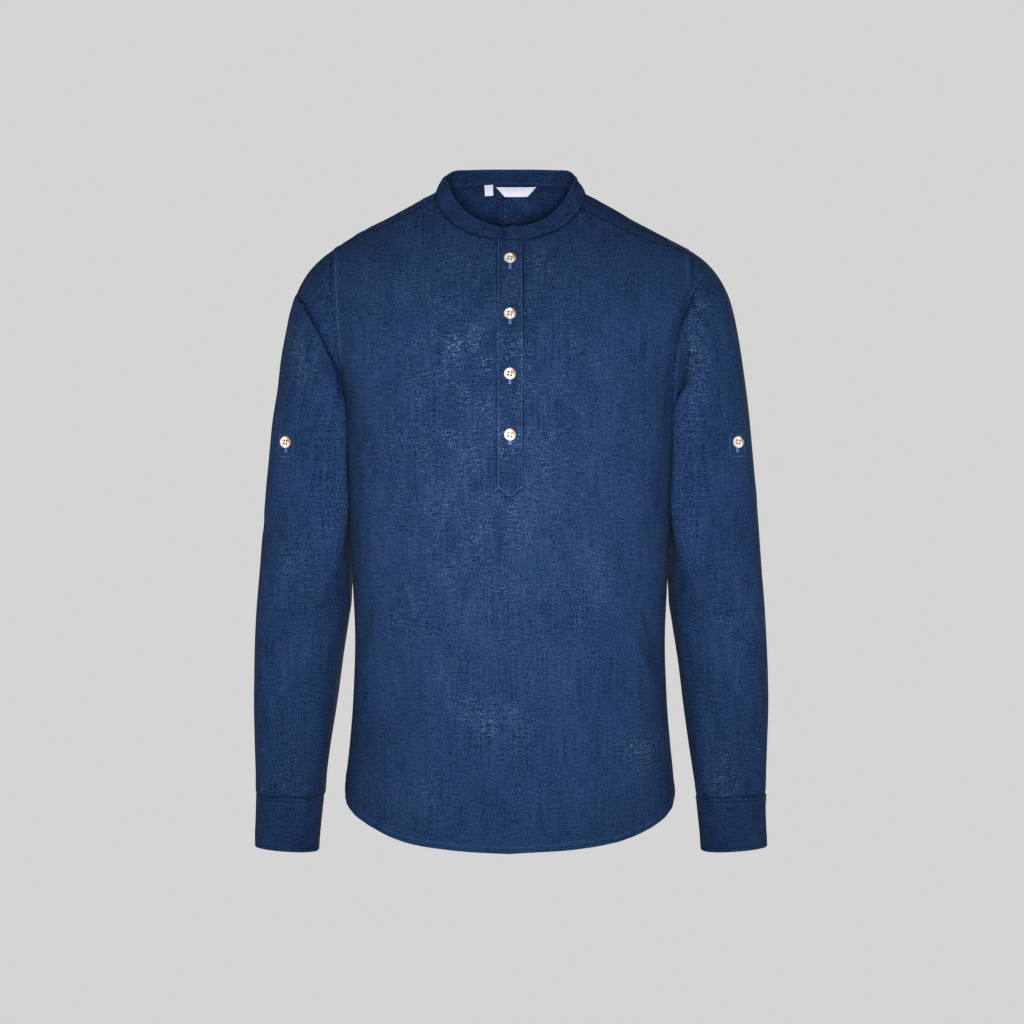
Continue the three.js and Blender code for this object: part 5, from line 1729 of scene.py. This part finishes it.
def linen_material(name, dark, light):
    material, tree, shader = new_material(name)
    place = cloth_place(tree)
    weave = tree.group(LINEN, Place=place, Dark_thread=dark, Light_thread=light)
    tree.put(weave.inputs["Thin"], mask(tree, "sheer"))
    tree.put(weave.inputs["Worn"], mask(tree, "worn"))
    # The mesh's mask of painted shade darkens the weave
    tree.put(weave.inputs["Painted shade"], mask(tree, "painted_shade"))
    crumple = tree.group(CRUMPLE, Place=place)
    soft = bump(tree, crumple.outputs["Height"], 0.004, 0.5)
    tree.put(shader["Base Color"], weave.outputs["Color"])
    tree.put(shader["Roughness"], weave.outputs["Roughness"])
    tree.put(shader["Normal"], bump(tree, weave.outputs["Height"], 0.0007, 0.8, soft))
    tree.put(shader["Specular IOR Level"], 0.08)
    tree.put(shader["Sheen Weight"], 0.02)
    tree.put(shader["Sheen Roughness"], 0.5)
    tree.put(shader["Sheen Tint"], (0.35, 0.45, 0.7, 1))
    return material


def thread_material(name, color, other):
    material, tree, shader = new_material(name)
    place = tree.scaled(tree.node("ShaderNodeTexCoord").outputs["Object"], (1000, 1000, 1000))
    twist = tree.noise(place, 1.6, 2.0, 0.6)
    tree.put(shader["Base Color"], tree.blend(tree.between(twist, 0.35, 0.65), color, other))
    tree.put(shader["Roughness"], 0.7)
    tree.put(shader["Normal"], bump(tree, twist, 0.0003, 0.6))
    return material


def pearl_material():
    """Pearly off-white button with a brown streak round its upper right. Its rim is painted brown and its
    four holes near-black: painted shade.
    """
    material, tree, shader = new_material("pearl_button")
    place = tree.node("ShaderNodeAttribute", attribute_name="button_place").outputs["Vector"]
    drift = tree.noise(place, 0.3, 3.0, 0.6, 1.2)
    cloud = tree.between(drift, 0.3, 0.7)
    pearl = tree.blend(cloud, (0.50, 0.47, 0.40, 1), (0.70, 0.68, 0.64, 1))
    separate = tree.node("ShaderNodeSeparateXYZ")
    tree.put(separate.inputs[0], place)
    x, y = separate.outputs[0], separate.outputs[1]
    aslant = tree.math("ADD", tree.times(x, 0.83), tree.times(y, 0.55))
    streak = tree.between(tree.math("ADD", aslant, tree.times(drift, 3.4)), 4.4, 6.0)
    brown = tree.blend(cloud, (0.16, 0.06, 0.02, 1), (0.50, 0.27, 0.10, 1))
    # Painted shade: a brown ring round the rim
    rim = tree.times(tree.between(tree.length(x, y), 5.3, 6.3), 0.55)
    color = tree.blend(tree.math("MAXIMUM", tree.times(streak, 0.9), rim), pearl, brown)
    # Painted shade: the four holes are painted near-black
    off_x = tree.math("SUBTRACT", tree.math("ABSOLUTE", x), HOLE_OUT)
    off_y = tree.math("SUBTRACT", tree.math("ABSOLUTE", y), HOLE_OUT)
    hole = tree.between(tree.length(off_x, off_y), 1.2, 0.9)
    color = tree.blend(hole, color, (0.012, 0.010, 0.012, 1))
    tree.put(shader["Base Color"], color)
    tree.put(shader["Roughness"], tree.between(drift, 0.3, 0.7, 0.24, 0.36))
    tree.put(shader["Normal"], bump(tree, drift, 0.0002, 0.3))
    tree.put(shader["Specular IOR Level"], 0.25)
    tree.put(shader["Coat Weight"], 0.08)
    tree.put(shader["Coat Roughness"], 0.3)
    return material


def label_material():
    material, tree, shader = new_material("woven_satin")
    place = cloth_place(tree)
    rib = tree.node("ShaderNodeTexWave", wave_type="BANDS", bands_direction="Y", wave_profile="SIN")
    tree.put(rib.inputs["Vector"], place)
    tree.put(rib.inputs["Scale"], 0.6)
    tree.put(rib.inputs["Distortion"], 0.4)
    tone = tree.streaks(place, 0.25, 1.2, 2.0)
    tree.put(shader["Base Color"], tree.blend(tone, (0.56, 0.56, 0.68, 1), (0.74, 0.74, 0.84, 1)))
    tree.put(shader["Roughness"], tree.between(tone, 0.3, 0.7, 0.5, 0.62))
    tree.put(shader["Normal"], bump(tree, rib.outputs["Fac"], 0.0002, 0.4))
    return material


# The dressed shirt

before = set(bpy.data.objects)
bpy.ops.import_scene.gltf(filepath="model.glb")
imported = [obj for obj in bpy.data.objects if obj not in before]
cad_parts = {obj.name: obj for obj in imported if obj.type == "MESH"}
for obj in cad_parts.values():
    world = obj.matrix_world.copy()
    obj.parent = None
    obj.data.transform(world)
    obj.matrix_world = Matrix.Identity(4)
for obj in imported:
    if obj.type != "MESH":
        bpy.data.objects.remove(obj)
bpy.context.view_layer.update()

linen = linen_material("blue_slub_linen", (0.0018, 0.008, 0.03, 1), (0.02, 0.0515, 0.136, 1))
band_linen = linen_material("blue_slub_linen_doubled", (0.0016, 0.0074, 0.028, 1), (0.017, 0.045, 0.12, 1))
navy_thread = thread_material("navy_thread", (0.022, 0.055, 0.14, 1), (0.05, 0.1, 0.22, 1))
pale_thread = thread_material("pale_thread", (0.06, 0.14, 0.30, 1), (0.20, 0.34, 0.60, 1))
cream_thread = thread_material("cream_thread", (0.62, 0.60, 0.54, 1), (0.78, 0.76, 0.70, 1))
pearl = pearl_material()
satin = label_material()

sewing = Sewing()
pale_sewing = Sewing()
cream_sewing = Sewing()


def set_piece(piece, node):
    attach(piece, "root")
    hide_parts(node)
    return piece


def edges_of_side(side, felled_side, tucked_seed):
    """The armhole, side seam and yoke seam of one side of the front or back."""
    lines = LINES[side]
    return [
        (lines["armhole_front"], "felled", felled_side),
        (lines["side"], "felled", felled_side + 2),
        (lines["seam"], "tucked", tucked_seed),
    ]


front, front_cloth, front_normals = body_shell(
    "front_cloth", front_places(), edges_of_side("left", 201, 205) + edges_of_side("right", 211, 215),
    front_hem, linen, slit,
)
back_line = body_point(*spread(back_seam, np.linspace(0, 1, 300)))
back_seams = [
    (LINES["left"]["armhole_back"], "felled", 221),
    (LINES["right"]["armhole_back"], "felled", 223),
    (LINES["left"]["side"], "tucked", 225),
    (LINES["right"]["side"], "tucked", 227),
    (back_line, "tucked", 229),
]
back, back_cloth, back_normals = body_shell("back_cloth", back_places(), back_seams, back_hem, linen)
yoke_seams = [
    (LINES["left"]["over"], "pressed", 231),
    (LINES["right"]["over"], "pressed", 233),
    (LINES["left"]["seam"], "felled", 235),
    (LINES["right"]["seam"], "felled", 237),
    (back_line, "felled", 239),
]
yoke, yoke_outer, yoke_normals = body_shell("yoke_cloth", yoke_places(), yoke_seams, None, linen)
set_piece(front, "front")
set_piece(back, "back")
set_piece(yoke, "yoke")

band, band_outer, band_inner, band_normals = collar_band(band_linen)
set_piece(band, "collar_band")
over, over_outer, over_normals, over_x, over_z = placket_over(band_linen)
set_piece(over, "placket_over")
under = set_piece(placket_under(linen), "placket_under")
neck_label = set_piece(label("neck_label_satin", NECK_LABEL, 0.0, satin), "neck_label")
size_label = set_piece(label("size_label_satin", SIZE_LABEL, 0.8, satin), "size_label")

sleeves, cuffs, sleeve_strips = {}, {}, {}
for side in SIDES:
    sleeves[side] = sleeve(side, linen)
    set_piece(sleeves[side][0], f"sleeve_{side}")
    cuffs[side] = cuff(side, band_linen)
    set_piece(cuffs[side][0], f"cuff_{side}")
    sleeve_strips[side] = sleeve_placket(side, linen)
    set_piece(sleeve_strips[side][0], f"sleeve_placket_{side}")


# Buttons

def button_at(node, point, normal, out):
    piece, across, upward = button(f"{node}_pearl", point + normal * out, normal, pearl)
    set_piece(piece, node)
    return point + normal * out, across, upward


front_buttons = []
for k, z in enumerate(FRONT_BUTTONS_Z):
    middle, height = np.array(math.pi / 2), np.array(float(z))
    point, normal = body_point(middle, height, creased=True), body_normal(middle, height)
    front_buttons.append(button_at(f"button_front_{k + 1}", point, normal, FRONT_BUTTON_SEAT))


def on_sleeve(side, x, z):
    """The rows and angles at which the sleeve has these x and z in front, found from near its button."""
    row, angle, step = np.full(np.shape(z), 6.5), np.full(np.shape(z), 1.05), 0.01
    for _ in range(20):
        here = sleeve_point(side, row, angle)
        by_row = (sleeve_point(side, row + step, angle) - here) / step
        by_angle = (sleeve_point(side, row, angle + step) - here) / step
        size = by_row[..., 0] * by_angle[..., 2] - by_row[..., 2] * by_angle[..., 0]
        miss_x, miss_z = x - here[..., 0], z - here[..., 2]
        row = row + np.clip((miss_x * by_angle[..., 2] - miss_z * by_angle[..., 0]) / size, -0.4, 0.4)
        angle = angle + np.clip((miss_z * by_row[..., 0] - miss_x * by_row[..., 2]) / size, -0.2, 0.2)
    return row, angle


def on_sleeve_cloth(side):
    """Gives points and normals on the outside of one sleeve, at places measured on the left one."""
    def place(x, z):
        row, angle = on_sleeve(side, x, np.asarray(z, float))
        normals = flipped(side, sleeve_out(lambda r, a: sleeve_point(side, r, a), row, angle))
        return flipped(side, sleeve_point(side, row, angle, creased=True)) + normals * CLOTH / 2, normals

    return place


sleeve_buttons, cuff_buttons = {}, {}
for side in SIDES:
    x, z, seat = SLEEVE_BUTTONS[side]
    point, normal = on_sleeve_cloth(side)(x, z)
    sleeve_buttons[side] = button_at(f"button_sleeve_{side}", point, normal, seat - CLOTH / 2)
    point, normal = cuff_place(np.array(SLEEVE_END + 0.5), np.array(TURN * CUFF_BUTTON_TURNS))
    point, normal = flipped(side, point), flipped(side, normal)
    cuff_buttons[side] = button_at(f"button_cuff_{side}", point, normal, CUFF_BUTTON_SEAT)


# Stitches. A row down an armhole and side seam is split where the side seam starts, or a fold hides it.

def stitched(thread, points, normals, distance, edge, part=slice(None), radius=0.19, **how):
    line, facing = inset(points, normals, distance, edge)
    thread.run(line[part], facing[part], radius=radius, **how)


BELOW_ARM = len(ARMHOLE_SHARES)
ABOVE_LAP = {"first": 46, "last": 20}

for k, edge in enumerate(("first", "last")):
    shoulder_thread = pale_sewing if edge == "first" else sewing
    armholes = (front_cloth, front_normals, ABOVE_LAP[edge]), (back_cloth, back_normals, BELOW_ARM)
    for cloth, normals, end in armholes:
        upper = slice(None, end)
        stitched(shoulder_thread, cloth, normals, FELLED_ROWS[1], edge, upper, radius=0.15, seed=301 + k)
        stitched(sewing, cloth, normals, FELLED_ROWS[0], edge, upper, seed=303 + k)
    for distance in FELLED_ROWS:
        stitched(sewing, front_cloth, front_normals, distance, edge, slice(BELOW_ARM, None), seed=305 + k)
    for distance, seed in zip(FELLED_ROWS, (307, 309)):
        stitched(sewing, yoke_outer, yoke_normals, distance, edge, seed=seed + k)
    stitched(pale_sewing, over_outer, over_normals, 1.9, edge, radius=0.14, seed=311 + k)
for cloth, normals in ((front_cloth, front_normals), (back_cloth, back_normals)):
    stitched(sewing, cloth, normals, 6.2, "bottom", seed=313)
for distance in FELLED_ROWS:
    stitched(sewing, yoke_outer, yoke_normals, distance, "bottom", seed=315)
stitched(pale_sewing, over_outer, over_normals, 2.3, "bottom", pitch=2.2, radius=0.22, seed=317)
for cloth, normals, seed in ((band_outer, band_normals, 319), (band_inner, -band_normals, 323)):
    stitched(sewing, cloth, normals, 3.8, "top", seed=seed)
    stitched(sewing, cloth, normals, 2.2, "bottom", seed=seed + 2)
for side in SIDES:
    _, outer, facing = cuffs[side]
    for distance, edge in ((1.7, "top"), (6.8, "top"), (3.2, "bottom"), (2.0, "last")):
        stitched(sewing, outer, facing, distance, edge, seed=331)
    _, outer, facing = sleeve_strips[side]
    for distance, edge in ((1.8, "first"), (1.8, "last"), (2.2, "top")):
        stitched(sewing, outer, facing, distance, edge, seed=341)


# Buttonholes, button threads and the stitched box round each sleeve button

def on_placket(x, z):
    """Points and normals on the outside of the front placket."""
    i = int(np.clip(np.searchsorted(over_x[0], x) - 1, 0, over_x.shape[1] - 2))
    share = (x - over_x[0, i]) / (over_x[0, i + 1] - over_x[0, i])
    grids = over_outer, over_normals, over_z
    line, facing, heights = (mix(grid[:, i], grid[:, i + 1], share) for grid in grids)

    def at(values):
        return np.stack([np.interp(-z, -heights, values[:, k]) for k in range(3)], axis=1)

    return at(line), at(facing)


def buttonhole(place, x, z, top, foot):
    """A worked vertical slot: close cross stitches down both sides, and a bar at the foot."""
    heights = z - np.arange(top, foot, 0.42)
    for sideways in (-0.85, 0.85):
        points, normals = place(x + sideways, heights)
        across = np.tile([1.0, 0, 0], (len(points), 1))
        pale_sewing.add(points + normals * 0.05, across, normals, 1.1, 0.2)
    points, normals = place(x, z - np.array([foot, foot + 0.4]))
    pale_sewing.add(points + normals * 0.1, np.tile([1.0, 0, 0], (2, 1)), normals, 3.0, 0.3)
    points, normals = place(x, z - np.linspace(top, foot, 8))
    sewing.run(points, normals, pitch=1.0, share=1.1, radius=0.3, start=0.5)


def button_threads(point, across, upward):
    """Two threads crossed over the four holes."""
    normal = np.cross(across, upward)
    centres = np.array([point + normal * 1.9, point + normal * 2.05])
    along = np.array([across + upward, across - upward])
    cream_sewing.add(centres, along, np.array([normal, normal]), 3.4, 0.09)


def stitched_box(place, x, z):
    """The square of stitches that holds a tab behind each sleeve button."""
    corners = [(-8, 8.5), (8, 8.5), (8, -15.5), (-8, -15.5), (-8, 8.5)]
    for (x0, z0), (x1, z1) in zip(corners, corners[1:]):
        share = np.linspace(0, 1, 12)
        points, normals = place(x + mix(x0, x1, share), z + mix(z0, z1, share))
        pale_sewing.run(points, normals, pitch=2.2, radius=0.13)


for (point, across, upward), z in zip(front_buttons, FRONT_BUTTONS_Z):
    button_threads(point, across, upward)
    buttonhole(on_placket, 0.0, z, 1.0, 10.2)
closing = [on_placket(x, np.array([PLACKET_CLOSED_Z])) for x in np.linspace(-11.4, 2.0, 9)]
closing_line, closing_normals = (np.concatenate(rows) for rows in zip(*closing))
sewing.run(closing_line, closing_normals, pitch=2.2)
for side in SIDES:
    for point, across, upward in (sleeve_buttons[side], cuff_buttons[side]):
        button_threads(point, across, upward)
    x, z, _ = SLEEVE_BUTTONS[side]
    buttonhole(on_sleeve_cloth(side), x, z, 4.0, 10.6)
    stitched_box(on_sleeve_cloth(side), x, z)


# Camera, light and floor, in metres

VIEW_X = 0.00224
VIEW_Z = -0.357
VIEW_DISTANCE = 3.2
LIT_HEIGHT = -0.36
FLOOR_RADIUS = 2.4
FLOOR_Z = -1.5
FLOOR_CORNERS = 64


def aim(thing, place, target):
    thing.location = place
    thing.rotation_euler = (Vector(target) - Vector(place)).to_track_quat("-Z", "Y").to_euler()


camera_data = bpy.data.cameras.new("camera")
camera_data.sensor_width = 36
camera_data.lens = 100.45
camera = bpy.data.objects.new("camera", camera_data)
bpy.context.scene.collection.objects.link(camera)
aim(camera, (VIEW_X, -VIEW_DISTANCE, VIEW_Z), (VIEW_X, 0, VIEW_Z))
bpy.context.scene.camera = camera


def soft_light(name, place, size, power, spread=math.pi):
    data = bpy.data.lights.new(name, "AREA")
    data.shape = "RECTANGLE"
    data.size, data.size_y = size
    data.energy = power
    data.spread = spread
    lamp = bpy.data.objects.new(name, data)
    bpy.context.scene.collection.objects.link(lamp)
    aim(lamp, place, (0, 0, LIT_HEIGHT))


soft_light("front_softbox", (0.02, -2.9, -0.62), (0.75, 0.75), 4.7, math.radians(26))
soft_light("left_softbox", (-2.6, 0.7, -0.1), (1.2, 1.8), 16)
soft_light("right_softbox", (2.6, 0.7, -0.1), (1.2, 1.8), 16)
soft_light("back_softbox", (0.4, 2.8, 0.5), (1.8, 1.6), 75)

world = bpy.data.worlds.new("studio")
bpy.context.scene.world = world
world.use_nodes = True
world_tree = Tree(world.node_tree)
world.node_tree.nodes.clear()
seen = world_tree.node("ShaderNodeBackground")
world_tree.put(seen.inputs["Color"], (0.665, 0.665, 0.665, 1))
lighting = world_tree.node("ShaderNodeBackground")
world_tree.put(lighting.inputs["Color"], (0.9, 0.93, 1.0, 1))
world_tree.put(lighting.inputs["Strength"], 0.2)
path = world_tree.node("ShaderNodeLightPath")
choice = world_tree.node("ShaderNodeMixShader")
world_tree.put(choice.inputs[0], path.outputs["Is Camera Ray"])
world_tree.put(choice.inputs[1], lighting.outputs[0])
world_tree.put(choice.inputs[2], seen.outputs[0])
world_tree.put(world_tree.node("ShaderNodeOutputWorld").inputs["Surface"], choice.outputs[0])

for thread, name, material in (
    (sewing, "navy_stitches", navy_thread),
    (pale_sewing, "pale_stitches", pale_thread),
    (cream_sewing, "button_threads", cream_thread),
):
    stitches = thread.finish(name, material)
    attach(stitches, "root")

floor_mesh = bpy.data.meshes.new("floor")
floor_turns = [TURN * k / FLOOR_CORNERS for k in range(FLOOR_CORNERS)]
floor_rim = [(FLOOR_RADIUS * math.cos(t), FLOOR_RADIUS * math.sin(t), FLOOR_Z) for t in floor_turns]
floor_mesh.from_pydata(floor_rim, [], [tuple(range(FLOOR_CORNERS))])
floor = bpy.data.objects.new("floor", floor_mesh)
bpy.context.scene.collection.objects.link(floor)
floor_material, floor_tree, floor_shader = new_material("pale_floor")
floor_place = floor_tree.node("ShaderNodeTexCoord").outputs["Object"]
floor_tone = floor_tree.noise(floor_place, 3.0, 2.0, 0.5)
floor_color = floor_tree.blend(floor_tone, (0.6, 0.6, 0.6, 1), (0.64, 0.64, 0.64, 1))
floor_tree.put(floor_shader["Base Color"], floor_color)
floor_mesh.materials.append(floor_material)

bpy.context.scene.view_settings.view_transform = "Standard"
bpy.context.scene.view_settings.look = "None"
